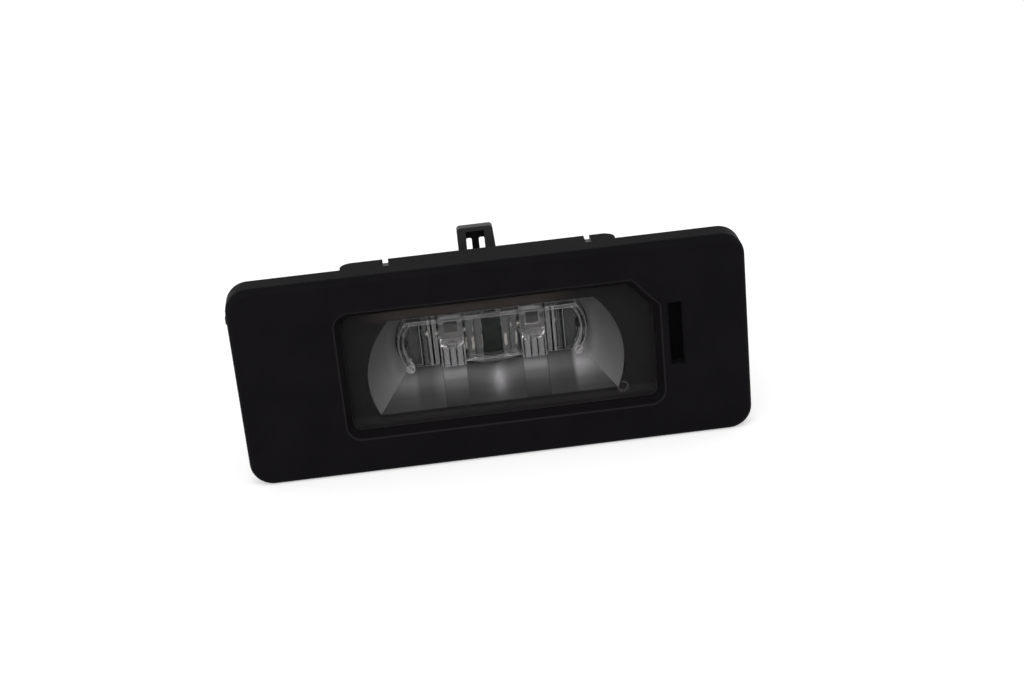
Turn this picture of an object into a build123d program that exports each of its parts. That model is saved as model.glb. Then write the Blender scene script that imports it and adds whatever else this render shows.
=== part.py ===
"""Snap-in LED number plate lamp for a car.

Frame: X to the right, Y to the back, Z up, in millimetres. The face looks along -Y. The origin is the
centre of the flange's rear rim, which is the plane that lies against the body panel.
"""

import os
from math import asin, cos, sin, sqrt

from build123d import *

# Flange and face
FLANGE_W = 74.0
FLANGE_H = 30.6
FLANGE_DEPTH = 4.0
FLANGE_CORNER = 3.4
FACE_EDGE = 1.0
FACE_WALL = 2.0
SKIRT_WALL = 1.6
FACE_RIB = 1.0
FACE_RIB_DROP = 0.6
FACE_RIB_PITCH = 18.2
GATE_MARK = 0.2
GATE_MARK_H = 1.0
GATE_MARK_Z = 10.6

# Barrel shaped aperture in the mask behind the lens
APERTURE_W = 37.6
APERTURE_H = 15.2
APERTURE_END_R = 13.5
APERTURE_END_DROP = 1.95
OPTIC_X = 0.35
OPTIC_Z = -0.45
MASK_WALL = 1.2

# Lens over the mask, and its bevelled surround
LENS_SIDE = 3.5
LENS_BAND = 1.3
LENS_THICK = 1.55
LENS_SEAT = 0.05
LENS_CORNER = 1.2
LENS_EDGE = 0.25
LENS_SHIFT_X = 0.7
LENS_SHIFT_Z = 0.65
LENS_SINK = 1.3
LENS_CLEAR = 0.1
LENS_MARK_D = 1.7
LENS_MARK_LINE = 0.25
LENS_MARK_DEPTH = 0.12
LENS_MARK_INSET_X = 5.0
LENS_MARK_INSET_Z = 1.9
BEVEL_W = 1.0
POCKET_WALL = 1.3

# Reflector
REFLECTOR_DEPTH = 4.9
REFLECTOR_WALL = 1.4
REFLECTOR_LAP = 0.3
REFLECTOR_RIM = 1.0
REFLECTOR_CLEAR = 0.15
RIM_MARGIN = 0.3
WINDOW_W = 28.4
WINDOW_H = 7.8
WINDOW_END_R = 5.9
WINDOW_RISE = 1.22
DISH_SAG = 0.4
DISH_OVER = 1.15
FACET_STEP = 0.2
CENTRE_FACET_R = 22.0
CENTRE_FACET_SAG = 0.18
REFLECTOR_SKIN = 0.5

# Light guide
GUIDE_PLATE = 1.15
GUIDE_SEAT = 0.05
GUIDE_LAP = 1.4
GUIDE_CLEAR = 0.2
GUIDE_SPIGOT = 0.7
GUIDE_POST_D = 2.0
GUIDE_POST_INSET = 0.8
GUIDE_POST_LEN = 2.0
TOP_BAR = 0.55
TOP_BAR_REACH = 1.3
GUIDE_FOOT_LIFT = 0.55
CENTRE_LENS_W = 2.9
CENTRE_LENS_R = 1.9
FLUTE_R = 0.62
FLUTE_PITCH = 1.12
COLLIMATOR_PITCH = 12.0
COLLIMATOR_W = 3.6
COLLIMATOR_REACH = 2.0
COLLIMATOR_EDGE = 0.12
DOME_R = 1.05
DOME_RISE = 0.35
DOME_DROP = 0.2
COLUMNS = 3
COLUMN_PITCH = 1.0
COLUMN_R = 0.58
COLUMN_RISE = 0.3
COLUMN_CLEAR = 0.15
WELL_W = 2.0
WELL_H = 2.0
WELL_BAND = 0.15
WELL_DEPTH = 0.6
ENTRY_FRONT_R = 2.0
ENTRY_BACK_R = 1.5
WING_GAP = 0.3
WING_LOW = 0.6
WING_HIGH = 1.35
WING_RIB_W = 0.55
WING_GROOVE_W = 0.38
WING_FIN_W = 0.3
WING_PANE_W = 0.86
END_WALL = 0.9
END_WALL_REACH = 1.5
END_WALL_EDGE = 0.2
CORNER_PEG_D = 1.3
CORNER_PEG_REACH = 1.9
CORNER_PEG_LAP = 0.5
CORNER_PEG_DROP = 0.4

# Collar behind the face
COLLAR_WALL = 1.4
COLLAR_OVER = 1.4
COLLAR_CORNER = 3.6

# Release slot and the latch arm behind it
SLOT_W = 1.9
SLOT_H = 9.6
SLOT_GAP = 1.15
SLOT_RISE = 1.52
SLOT_EDGE = 0.25
PANEL_GAP = 3.2
ARM_THICK = 1.2
ARM_H = 14.4
ARM_DROP = 1.5
ARM_ROOT = 1.4
ARM_FRONT = 1.0
ARM_SLOT_GAP = 0.1
ARM_BEND = 0.6
NOSE_REACH = 3.2
NOSE_LAND = 0.7
NOSE_RUN = 3.4
HOOK_REACH = 6.8
HOOK_THICK = 2.0
HOOK_H = 11.0
HOOK_RISE = 1.45
HOOK_EDGE = 0.6
GUSSET_THICK = 1.2
GUSSET_REACH = 5.0

# Lip behind the top edge, with two slits
LIP_W = 39.5
LIP_X = -0.65
LIP_REACH = 2.4
LIP_CORNER = 1.7
SLIT_W = 0.8
SLIT_PITCH = 29.05
SLIT_X = 0.68
SLIT_DEPTH = 0.6
SLIT_RUN = 0.4

# Circuit board and the pieces on it
BOARD_GAP_X = 1.8
BOARD_GAP_Z = 1.4
BOARD_THICK = 1.0
BOARD_CORNER = 1.0
BOARD_ROOM = 2.1
LED_W = 3.5
LED_H = 2.8
LED_TALL = 1.0
LED_GAP = 0.1
LED_EDGE = 0.2
LED_WINDOW_D = 2.3
LED_WINDOW_DEPTH = 0.25
CHIP_CAP = 0.42
CHIP_SKIN = 0.06
CHIP_ROW_INSET = 2.85
RESISTOR_W = 1.6
RESISTOR_TALL = 0.6
RESISTOR_LEN = 3.2
RESISTOR_NEAR = 6.6
RESISTOR_PITCH = 3.6
RESISTORS = 4
CAPACITOR_W = 1.25
CAPACITOR_TALL = 1.2
CAPACITOR_LEN = 2.0
CAPACITOR_X = 2.2
DIODE_LEN = 4.3
DIODE_TALL = 1.3
DIODE_W = 2.6
DIODE_LEAD = 0.5
DIODE_LEAD_W = 1.5
DIODE_LEAD_TALL = 0.4
DIODE_EDGE = 0.25
DIODE_X = 9.0
DIODE_INSET = 4.25
DRIVER_LEN = 4.9
DRIVER_W = 3.9
DRIVER_TALL = 1.3
DRIVER_FOOT = 0.15
DRIVER_EDGE = 0.25
DRIVER_INSET = 3.25
DRIVER_LEG_W = 0.42
DRIVER_LEG_PITCH = 1.27
DRIVER_LEG_REACH = 1.0
DRIVER_LEG_THICK = 0.2
DRIVER_LEGS = 4

# Rear housing
HOUSING_WALL = 2.2
REAR_WALL = 1.5
REAR_EDGE = 1.2
SPIGOT_DEPTH = 1.2
SPIGOT_CLEAR = 0.08
POST_D = 3.0
POST_INSET = 2.4
STAKE_D = 1.6
STAKE_CLEAR = 0.1
STAKE_HEAD_D = 2.6
STAKE_HEAD = 0.6
STAKE_HEAD_ROUND = 0.4

# Plug socket on the rear housing
SOCKET_W = 11.2
SOCKET_H = 7.0
SOCKET_WALL = 1.2
SOCKET_DEPTH = 10.0
SOCKET_CORNER = 0.8
SOCKET_EDGE = 0.3
SOCKET_X = -0.25
SOCKET_DROP = 1.0
KEY_W = 1.0
KEY_RISE = 0.8
KEY_PITCH = 6.0
BLADE_THICK = 0.8
BLADE_W = 2.8
BLADE_PITCH = 6.0
BLADE_REACH = 6.8
BLADE_TIP = 0.25
BLADE_CLEAR = 0.05
TAIL_W = 1.0
TAIL_CLEAR = 0.1
TAIL_REACH = 0.6
BLADE_STOP = 0.5
WEB_THICK = 1.2
WEB_REACH = 6.0
WEB_RUN = 5.0

# Tie tab on top of the rear housing
TAB_W = 5.3
TAB_X = -0.35
TAB_THICK = 1.4
TAB_FLARE = 0.4
TAB_CORNER = 0.5
TAB_BAR = 0.68
TAB_POCKET_W = 2.75
TAB_POCKET_DEPTH = 0.6
TAB_WEB = 1.2
TAB_WINDOW_W = 0.84
TAB_WINDOW_PITCH = 1.89
TAB_WINDOW_CORNER = 0.25

# Vent in the rear wall
VENT_INSET_X = 8.2
VENT_INSET_Z = 5.8
VENT_HOLE_D = 1.5
VENT_RING_WALL = 0.6
VENT_RING = 0.8
MEMBRANE_D = 6.0
MEMBRANE_THICK = 0.25
MEMBRANE_CLEAR = 0.1

# Depths along Y, worked out from the sizes above
FACE_Y = -FLANGE_DEPTH
FACE_BACK_Y = FACE_Y + FACE_WALL
LENS_Y = FACE_Y + LENS_SINK
LENS_BACK_Y = LENS_Y + LENS_THICK
MASK_Y = LENS_BACK_Y + LENS_SEAT
MASK_BACK_Y = MASK_Y + MASK_WALL
WINDOW_Y = MASK_BACK_Y + REFLECTOR_DEPTH
PLATE_Y = WINDOW_Y + GUIDE_SEAT
PLATE_BACK_Y = PLATE_Y + GUIDE_PLATE
COLLAR_BACK_Y = PLATE_BACK_Y + COLLAR_OVER
BOARD_Y = PLATE_BACK_Y + GUIDE_POST_LEN
BOARD_BACK_Y = BOARD_Y + BOARD_THICK
REAR_INNER_Y = BOARD_BACK_Y + BOARD_ROOM
REAR_Y = REAR_INNER_Y + REAR_WALL
SOCKET_Y = REAR_Y + SOCKET_DEPTH

# Widths and heights that nest in each other
LENS_W = APERTURE_W + 2 * LENS_SIDE
LENS_H = APERTURE_H + 2 * LENS_BAND
RIM_W = APERTURE_W + 2 * (REFLECTOR_LAP + REFLECTOR_WALL + RIM_MARGIN)
RIM_H = APERTURE_H + 2 * (REFLECTOR_LAP + REFLECTOR_WALL + RIM_MARGIN)
COLLAR_IN_W = RIM_W + 2 * REFLECTOR_CLEAR
COLLAR_IN_H = RIM_H + 2 * REFLECTOR_CLEAR
COLLAR_W = COLLAR_IN_W + 2 * COLLAR_WALL
COLLAR_H = COLLAR_IN_H + 2 * COLLAR_WALL
CAVITY_W = COLLAR_W - 2 * HOUSING_WALL
CAVITY_H = COLLAR_H - 2 * HOUSING_WALL
BOARD_W = CAVITY_W - 2 * BOARD_GAP_X
BOARD_H = CAVITY_H - 2 * BOARD_GAP_Z

# Places in X and Z
LENS_X = OPTIC_X + LENS_SHIFT_X
LENS_Z = OPTIC_Z + LENS_SHIFT_Z
WINDOW_Z = OPTIC_Z + WINDOW_RISE
COLLAR_LEFT = OPTIC_X - COLLAR_W / 2
COLLAR_RIGHT = OPTIC_X + COLLAR_W / 2
COLLAR_TOP = OPTIC_Z + COLLAR_H / 2
SLOT_X = LENS_X + LENS_W / 2 + BEVEL_W + SLOT_GAP + SLOT_W / 2
SLOT_Z = OPTIC_Z + SLOT_RISE
HOOK_Z = OPTIC_Z + HOOK_RISE
SOCKET_Z = OPTIC_Z - SOCKET_DROP
BOARD_TOP = OPTIC_Z + BOARD_H / 2
CHIP_ROW_Z = OPTIC_Z - BOARD_H / 2 + CHIP_ROW_INSET
VENT_X = COLLAR_RIGHT - VENT_INSET_X
VENT_Z = OPTIC_Z - COLLAR_H / 2 + VENT_INSET_Z
COLLIMATOR_X = COLLIMATOR_PITCH / 2
END_WALL_R = WINDOW_END_R - GUIDE_CLEAR
END_WALL_TURN = asin((WINDOW_H / 2 - GUIDE_CLEAR) / END_WALL_R)
END_WALL_X = WINDOW_W / 2 - WINDOW_END_R + END_WALL_R * cos(END_WALL_TURN)

# Distance within which two depths count as the same
TOUCH = 1e-4

AXIS = Pos(OPTIC_X, OPTIC_Z)
WINDOW_AXIS = Pos(OPTIC_X, WINDOW_Z)


def across(y):
    """Plane across the lamp at depth y, seen from the front: sketch x is X and sketch y is Z."""
    return Plane(origin=(0, y, 0), x_dir=(1, 0, 0), z_dir=(0, -1, 0))


def slab(outline, front, back):
    """Solid of an outline drawn in X and Z, from depth front to depth back."""
    return extrude(across(back) * outline, amount=back - front)


def upright(outline, low, high):
    """Solid of an outline drawn in X and Y, from height low to height high."""
    return extrude(Plane.XY.offset(low) * outline, amount=high - low)


def block(x, y, z):
    """Box between pairs of X, Y and Z values."""
    size = (x[1] - x[0], y[1] - y[0], z[1] - z[0])
    middle = (x[0] + x[1]) / 2, (y[0] + y[1]) / 2, (z[0] + z[1]) / 2
    return Pos(*middle) * Box(*size)


def polygon(*points):
    """Flat face with straight sides through the points."""
    return make_face(Polyline(*points, close=True))


def barrel(half_w, half_h, end_r, end_z=0.0):
    """Outline with straight top and bottom and bowed ends, whose arcs centre on height end_z."""
    end_x = half_w - end_r
    x_top = end_x + sqrt(end_r**2 - (half_h - end_z) ** 2)
    x_low = end_x + sqrt(end_r**2 - (half_h + end_z) ** 2)
    sides = [
        Line((-x_top, half_h), (x_top, half_h)),
        ThreePointArc((x_top, half_h), (half_w, end_z), (x_low, -half_h)),
        Line((x_low, -half_h), (-x_low, -half_h)),
        ThreePointArc((-x_low, -half_h), (-half_w, end_z), (-x_top, half_h)),
    ]
    return make_face(sides)


def aperture(grow=0.0):
    """Barrel outline of the mask's aperture, grown all round."""
    half_w = APERTURE_W / 2 + grow
    half_h = APERTURE_H / 2 + grow
    return AXIS * barrel(half_w, half_h, APERTURE_END_R + grow, -APERTURE_END_DROP)


def window(grow=0.0):
    """Outline of the reflector's rear window, grown all round."""
    half_w = WINDOW_W / 2 + grow
    half_h = WINDOW_H / 2 + grow
    return WINDOW_AXIS * barrel(half_w, half_h, WINDOW_END_R + grow)


def lens_outline(grow=0.0):
    """Rounded rectangle of the lens, grown all round."""
    size = LENS_W + 2 * grow, LENS_H + 2 * grow
    return Pos(LENS_X, LENS_Z) * RectangleRounded(*size, LENS_CORNER + grow)


def collar_outline(width, height):
    """Rounded rectangle that keeps the collar's wall even at its corners."""
    corner = COLLAR_CORNER - (COLLAR_W - width) / 2
    return AXIS * RectangleRounded(width, height, corner)


def edges_at(solid, y):
    """Edges that lie wholly at depth y."""
    return solid.edges().filter_by_position(Axis.Y, y - TOUCH, y + TOUCH)


# Bezel: flange, lens surround, mask, collar, lip, latch arm and hook are one moulding


def flange_tray():
    """Face plate with rounded front edge, turned back all round as a skirt."""
    outer = RectangleRounded(FLANGE_W, FLANGE_H, FLANGE_CORNER)
    trough_size = FLANGE_W - 2 * SKIRT_WALL, FLANGE_H - 2 * SKIRT_WALL
    trough = RectangleRounded(*trough_size, FLANGE_CORNER - SKIRT_WALL)
    tray = slab(outer, FACE_Y, 0)
    tray = fillet(edges_at(tray, FACE_Y), FACE_EDGE)
    return tray - slab(trough, FACE_BACK_Y, 0)


def face_ribs():
    """Stiffening ribs behind the face, from the skirt to the lens pocket on both sides."""
    reach = FLANGE_W / 2 - SKIRT_WALL / 2
    pocket_half = LENS_W / 2 + LENS_CLEAR + POCKET_WALL / 2
    depth = FACE_BACK_Y - FACE_WALL / 2, -FACE_RIB_DROP
    ribs = []
    for x in ((-reach, LENS_X - pocket_half), (LENS_X + pocket_half, reach)):
        for side in (-1, 1):
            z = LENS_Z + side * FACE_RIB_PITCH / 2
            ribs.append(block(x, depth, (z - FACE_RIB / 2, z + FACE_RIB / 2)))
    return ribs


def lip():
    """Tongue that carries the top side wall back over the panel."""
    length = LIP_REACH + FLANGE_DEPTH / 2
    tongue = Pos(LIP_X, LIP_REACH - length / 2) * Rectangle(LIP_W, length)
    rear_corners = tongue.vertices().group_by(Axis.Y)[-1]
    tongue = fillet(rear_corners, LIP_CORNER)
    return upright(tongue, FLANGE_H / 2 - SKIRT_WALL, FLANGE_H / 2)


def lip_slits():
    """Two shallow slits across the lip's top, from its rear edge into the top side wall."""
    top = FLANGE_H / 2
    cuts = []
    for side in (-1, 1):
        x = SLIT_X + side * SLIT_PITCH / 2
        width = x - SLIT_W / 2, x + SLIT_W / 2
        cuts.append(block(width, (-SLIT_RUN, LIP_REACH), (top - SLIT_DEPTH, top)))
    return cuts


def latch_arm():
    """Spring leaf beside the collar with a wide nose; a blade in the release slot pushes it inwards."""
    outer = SLOT_X - SLOT_W / 2 - ARM_SLOT_GAP
    inner = outer - ARM_THICK
    root = COLLAR_RIGHT - COLLAR_WALL / 2
    web_y = COLLAR_BACK_Y - ARM_ROOT
    leaf = polygon(
        (root, COLLAR_BACK_Y),
        (outer, COLLAR_BACK_Y),
        (outer, ARM_FRONT),
        (inner, ARM_FRONT),
        (inner, web_y),
        (root, web_y),
    )
    corners = leaf.vertices()
    leaf = fillet(corners.sort_by_distance((outer, COLLAR_BACK_Y))[0], ARM_BEND + ARM_THICK / 2)
    leaf = fillet(leaf.vertices().sort_by_distance((inner, web_y))[0], ARM_BEND)
    high = SLOT_Z - ARM_DROP + ARM_H / 2
    nose_back = PANEL_GAP + NOSE_LAND + NOSE_RUN
    nose = polygon(
        (inner, PANEL_GAP),
        (outer + NOSE_REACH, PANEL_GAP),
        (outer + NOSE_REACH, PANEL_GAP + NOSE_LAND),
        (outer, nose_back),
        (inner, nose_back),
    )
    return upright(leaf, high - ARM_H, high) + upright(nose, high - ARM_H, high)


def fixed_hook():
    """Rigid hook on the left of the collar, stiffened by two gussets."""
    root = COLLAR_LEFT + COLLAR_WALL / 2
    tip = COLLAR_LEFT - HOOK_REACH
    back = PANEL_GAP + HOOK_THICK
    low = HOOK_Z - HOOK_H / 2
    high = HOOK_Z + HOOK_H / 2
    plate = polygon(
        (root, PANEL_GAP),
        (tip, PANEL_GAP),
        (tip, back - HOOK_EDGE),
        (tip + HOOK_EDGE, back),
        (root, back),
    )
    gusset = polygon(
        (root, back - HOOK_THICK / 2),
        (COLLAR_LEFT - GUSSET_REACH, back - HOOK_THICK / 2),
        (COLLAR_LEFT - GUSSET_REACH, back),
        (COLLAR_LEFT, COLLAR_BACK_Y),
        (root, COLLAR_BACK_Y),
    )
    hook = upright(plate, low, high)
    hook += upright(gusset, low, low + GUSSET_THICK)
    return hook + upright(gusset, high - GUSSET_THICK, high)


def release_slot():
    """Through slot in the face for a flat blade, with chamfered front edges."""
    opening = Pos(SLOT_X, SLOT_Z) * Rectangle(SLOT_W, SLOT_H)
    flared = Pos(SLOT_X, SLOT_Z) * Rectangle(SLOT_W + 2 * SLOT_EDGE, SLOT_H + 2 * SLOT_EDGE)
    chamfer_back = across(FACE_Y + SLOT_EDGE) * opening
    mouth = loft([across(FACE_Y) * flared, chamfer_back], ruled=True)
    return slab(opening, FACE_Y, FACE_BACK_Y) + mouth


def gate_mark():
    """Small trimmed gate on the left side wall."""
    x = -FLANGE_W / 2
    y = -FLANGE_DEPTH / 2
    nub = (y - GATE_MARK_H / 2, y + GATE_MARK_H / 2)
    height = GATE_MARK_Z - GATE_MARK_H / 2, GATE_MARK_Z + GATE_MARK_H / 2
    return block((x - GATE_MARK, x + SKIRT_WALL / 2), nub, height)


def make_bezel():
    bezel = flange_tray()
    bezel += slab(lens_outline(LENS_CLEAR + POCKET_WALL), FACE_BACK_Y, MASK_BACK_Y)
    bezel += slab(collar_outline(COLLAR_W, COLLAR_H), FACE_BACK_Y, COLLAR_BACK_Y)
    bezel += face_ribs()
    bezel += lip()
    bezel -= lip_slits()
    bezel += gate_mark()
    bevel = [across(FACE_Y) * lens_outline(BEVEL_W), across(LENS_Y) * lens_outline(LENS_CLEAR)]
    bezel -= loft(bevel, ruled=True)
    bezel -= slab(lens_outline(LENS_CLEAR), LENS_Y, MASK_Y)
    bezel -= slab(aperture(), MASK_Y, MASK_BACK_Y)
    bezel -= slab(collar_outline(COLLAR_IN_W, COLLAR_IN_H), MASK_BACK_Y, COLLAR_BACK_Y)
    bezel -= release_slot()
    bezel += latch_arm()
    bezel += fixed_hook()
    return bezel


# Clear lens


def make_lens():
    plate = slab(lens_outline(), LENS_Y, LENS_BACK_Y)
    plate = fillet(edges_at(plate, LENS_Y), LENS_EDGE)
    mark = Circle(LENS_MARK_D / 2) - Circle(LENS_MARK_D / 2 - LENS_MARK_LINE)
    x = LENS_X + LENS_W / 2 - LENS_MARK_INSET_X
    z = LENS_Z - LENS_H / 2 + LENS_MARK_INSET_Z
    return plate - slab(Pos(x, z) * mark, LENS_Y, LENS_Y + LENS_MARK_DEPTH)


# Reflector: rim, tapered bowl and dished facets on its lower slope


def bowl(grow):
    """Tapered solid from the mouth behind the mask to the rear window, grown all round."""
    mouth = across(MASK_BACK_Y) * aperture(REFLECTOR_LAP + grow)
    back = across(WINDOW_Y) * window(grow)
    return loft([mouth, back], ruled=True)


def lower_slope():
    """Plane of the bowl's lower slope, its x axis along X and its y axis up the slope to the back."""
    front_z = OPTIC_Z - APERTURE_H / 2 - REFLECTOR_LAP
    back_z = WINDOW_Z - WINDOW_H / 2
    run = Vector(0, WINDOW_Y - MASK_BACK_Y, back_z - front_z)
    normal = Vector(1, 0, 0).cross(run)
    origin = (OPTIC_X, (MASK_BACK_Y + WINDOW_Y) / 2, (front_z + back_z) / 2)
    return Plane(origin=origin, x_dir=(1, 0, 0), z_dir=normal), run.length


def dish_profile(half, sag, sink):
    """Side view of a hollow that is bowed up the slope, its floor sunk below the slope's two ends."""
    end = half * DISH_OVER
    radius = (half**2 + sag**2) / (2 * sag)
    floor = -sag - sink
    rise = floor + radius - sqrt(radius**2 - end**2)
    top = DISH_SAG
    sides = [
        ThreePointArc((-end, rise), (0, floor), (end, rise)),
        Line((end, rise), (end, top)),
        Line((end, top), (-end, top)),
        Line((-end, top), (-end, rise)),
    ]
    return Plane.YZ * make_face(sides)


def facet_cuts():
    """Cuts that sink a dished facet under each collimator and a trough between into the lower slope."""
    slope, length = lower_slope()
    half = length / 2
    facet = extrude(dish_profile(half, DISH_SAG, FACET_STEP), amount=COLLIMATOR_W / 2, both=True)
    cuts = [Pos(side * COLLIMATOR_X, 0, 0) * facet for side in (-1, 1)]
    centre_half = COLLIMATOR_X - COLLIMATOR_W / 2
    hollow = CENTRE_FACET_R - sqrt(CENTRE_FACET_R**2 - centre_half**2)
    hub = CENTRE_FACET_R - CENTRE_FACET_SAG - hollow
    trough = revolve(dish_profile(half, CENTRE_FACET_SAG, hollow), Axis((0, 0, hub), (0, 1, 0)))
    cuts.append(trough & Box(2 * centre_half, 2 * length, 2 * REFLECTOR_WALL))
    return [slope * cut for cut in cuts]


def make_reflector():
    rim_corner = COLLAR_CORNER - COLLAR_WALL - REFLECTOR_CLEAR
    rim = AXIS * RectangleRounded(RIM_W, RIM_H, rim_corner)
    reflector = slab(rim, MASK_BACK_Y, MASK_BACK_Y + REFLECTOR_RIM)
    reflector += bowl(REFLECTOR_WALL)
    reflector -= bowl(0)
    for cut in facet_cuts():
        reflector -= cut & bowl(REFLECTOR_WALL - REFLECTOR_SKIN)
    return reflector


# Light guide: one clear moulding that fills the reflector's window


def guide_box(x, reach, z):
    """Block on the guide's front, from reach in front of the window plane, in the window's own X and Z."""
    depth = WINDOW_Y - reach, WINDOW_Y
    return block((OPTIC_X + x[0], OPTIC_X + x[1]), depth, (WINDOW_Z + z[0], WINDOW_Z + z[1]))


def guide_rod(x, y, radius, z):
    """Upright round rod on the guide's front."""
    middle = WINDOW_Z + (z[0] + z[1]) / 2
    return Pos(OPTIC_X + x, y, middle) * Cylinder(radius, z[1] - z[0])


def guide_base():
    """Plate behind the window, the spigot that fills it and the posts that meet the board."""
    base = slab(window(GUIDE_LAP), PLATE_Y, PLATE_BACK_Y)
    base += slab(window(-GUIDE_CLEAR), WINDOW_Y - GUIDE_SPIGOT, PLATE_Y)
    for side in (-1, 1):
        x = OPTIC_X + side * (WINDOW_W / 2 - GUIDE_POST_INSET)
        post = Pos(x, WINDOW_Z) * Circle(GUIDE_POST_D / 2)
        base += slab(post, PLATE_BACK_Y, BOARD_Y)
    return base


def guide_span():
    """Lowest and highest height of the guide's front features, from the window's centre."""
    half = WINDOW_H / 2 - GUIDE_CLEAR
    return -half, half


def centre_panel():
    """Upright cylinder lens in the middle, with two flutes on each side of it."""
    low, high = guide_span()
    span = low + GUIDE_FOOT_LIFT, high - TOP_BAR
    front = WINDOW_Y - GUIDE_SPIGOT
    half = CENTRE_LENS_W / 2
    sag = sqrt(CENTRE_LENS_R**2 - half**2)
    rod = guide_rod(0, front + sag, CENTRE_LENS_R, span)
    panel = rod & guide_box((-half, half), WINDOW_Y, span)
    for side in (-1, 1):
        for step in (1, 2):
            x = side * (half + (step - 1 / 2) * FLUTE_PITCH)
            panel += guide_rod(x, front, FLUTE_R, span)
    return panel


def top_bar():
    """Bar along the top of the guide, between the two end walls."""
    low, high = guide_span()
    return guide_box((-END_WALL_X, END_WALL_X), TOP_BAR_REACH, (high - TOP_BAR, high))


def collimator(side):
    """Block in front of one LED: square well above, small dome, round-topped columns below."""
    low, high = guide_span()
    x = side * COLLIMATOR_X
    half = COLLIMATOR_W / 2
    front = WINDOW_Y - COLLIMATOR_REACH
    body = guide_box((x - half, x + half), COLLIMATOR_REACH, (low, high))
    body = fillet(edges_at(body, front), COLLIMATOR_EDGE)
    well_top = high - WELL_BAND
    well_x = x - WELL_W / 2, x + WELL_W / 2
    well = guide_box(well_x, COLLIMATOR_REACH, (well_top - WELL_H, well_top))
    body -= well - Pos(0, WELL_DEPTH, 0) * well
    column_y = front + COLUMN_R - COLUMN_RISE
    column_top = -DOME_DROP - DOME_R
    for index in range(COLUMNS):
        column_x = x + (index - (COLUMNS - 1) / 2) * COLUMN_PITCH
        body += guide_rod(column_x, column_y, COLUMN_R, (low + COLUMN_CLEAR, column_top))
        body += Pos(OPTIC_X + column_x, column_y, WINDOW_Z + column_top) * Sphere(COLUMN_R)
    centre = OPTIC_X + x, front + DOME_R - DOME_RISE, WINDOW_Z - DOME_DROP
    return body + Pos(*centre) * Sphere(DOME_R)


def entry(side):
    """Cone behind the plate that takes in one LED's light."""
    x = OPTIC_X + side * COLLIMATOR_X
    front = across(PLATE_BACK_Y) * (Pos(x, WINDOW_Z) * Circle(ENTRY_FRONT_R))
    back_y = BOARD_Y - LED_TALL - LED_GAP
    back = across(back_y) * (Pos(x, WINDOW_Z) * Circle(ENTRY_BACK_R))
    return loft([front, back])


def end_wall(side):
    """Bowed wall at one end of the guide, with rounded front edges."""
    centre_x = WINDOW_W / 2 - WINDOW_END_R

    def spot(radius, turn):
        return side * (centre_x + radius * cos(turn)), radius * sin(turn)

    inner_r = END_WALL_R - END_WALL
    turns = -END_WALL_TURN, 0, END_WALL_TURN
    outer = [spot(END_WALL_R, turn) for turn in turns]
    inner = [spot(inner_r, turn) for turn in turns]
    sides = [
        ThreePointArc(*outer),
        Line(outer[-1], inner[-1]),
        ThreePointArc(*inner),
        Line(inner[0], outer[0]),
    ]
    front = WINDOW_Y - END_WALL_REACH
    wall = slab(WINDOW_AXIS * make_face(sides), front, WINDOW_Y)
    return fillet(edges_at(wall, front), END_WALL_EDGE)


def wing(side):
    """Rib, fin and two slanted panes beside one collimator, then the bowed end wall with its corner peg."""
    low, high = guide_span()
    base = GUIDE_SPIGOT / 2
    rib = COLLIMATOR_X + COLLIMATOR_W / 2 + WING_GAP
    rib_end = rib + WING_RIB_W
    fin = rib_end + WING_GROOVE_W
    pane = fin + WING_FIN_W
    pane_end = pane + WING_PANE_W
    last = pane_end + WING_GROOVE_W
    end = END_WALL_X - WING_GAP
    prism = polygon(
        (rib, -base),
        (rib, -WING_HIGH),
        (rib_end, -WING_HIGH),
        (rib_end, -WING_LOW),
        (fin, -WING_LOW),
        (fin, -WING_HIGH),
        (pane, -WING_HIGH),
        (pane_end, -WING_LOW),
        (last, -WING_LOW),
        (last, -WING_HIGH),
        (end, -WING_LOW),
        (end, -base),
    )
    foot = WINDOW_Z + low + GUIDE_FOOT_LIFT
    body = Pos(0, WINDOW_Y, 0) * upright(prism, foot, WINDOW_Z + high - TOP_BAR)
    if side < 0:
        body = mirror(body, about=Plane.YZ)
    body = Pos(OPTIC_X, 0, 0) * body
    peg_x = OPTIC_X + side * (END_WALL_X + CORNER_PEG_LAP - CORNER_PEG_D / 2)
    peg_z = WINDOW_Z + low - CORNER_PEG_DROP + CORNER_PEG_D / 2
    peg = Pos(peg_x, peg_z) * Circle(CORNER_PEG_D / 2)
    return body + end_wall(side) + slab(peg, WINDOW_Y - CORNER_PEG_REACH, WINDOW_Y - base)


def make_light_guide():
    guide = guide_base() + centre_panel() + top_bar()
    for side in (-1, 1):
        guide += collimator(side)
        guide += entry(side)
        guide += wing(side)
    return guide


# Circuit board, LEDs and small components


def post_places():
    """Centres of the four posts that carry the board, in X and Z."""
    x = BOARD_W / 2 - POST_INSET
    z = BOARD_H / 2 - POST_INSET
    return [(OPTIC_X + a * x, OPTIC_Z + b * z) for a in (-1, 1) for b in (-1, 1)]


def stake_places():
    """The two posts, across a diagonal, that end in a stake through the board."""
    places = post_places()
    return [places[0], places[-1]]


def blade_places():
    """X of the two terminals."""
    return [SOCKET_X - BLADE_PITCH / 2, SOCKET_X + BLADE_PITCH / 2]


def make_board():
    outline = AXIS * RectangleRounded(BOARD_W, BOARD_H, BOARD_CORNER)
    for x, z in stake_places():
        outline -= Pos(x, z) * Circle(STAKE_D / 2 + STAKE_CLEAR)
    for x in blade_places():
        size = BLADE_THICK + 2 * TAIL_CLEAR, TAIL_W + 2 * TAIL_CLEAR
        outline -= Pos(x, SOCKET_Z) * Rectangle(*size)
    return slab(outline, BOARD_Y, BOARD_BACK_Y)


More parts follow.
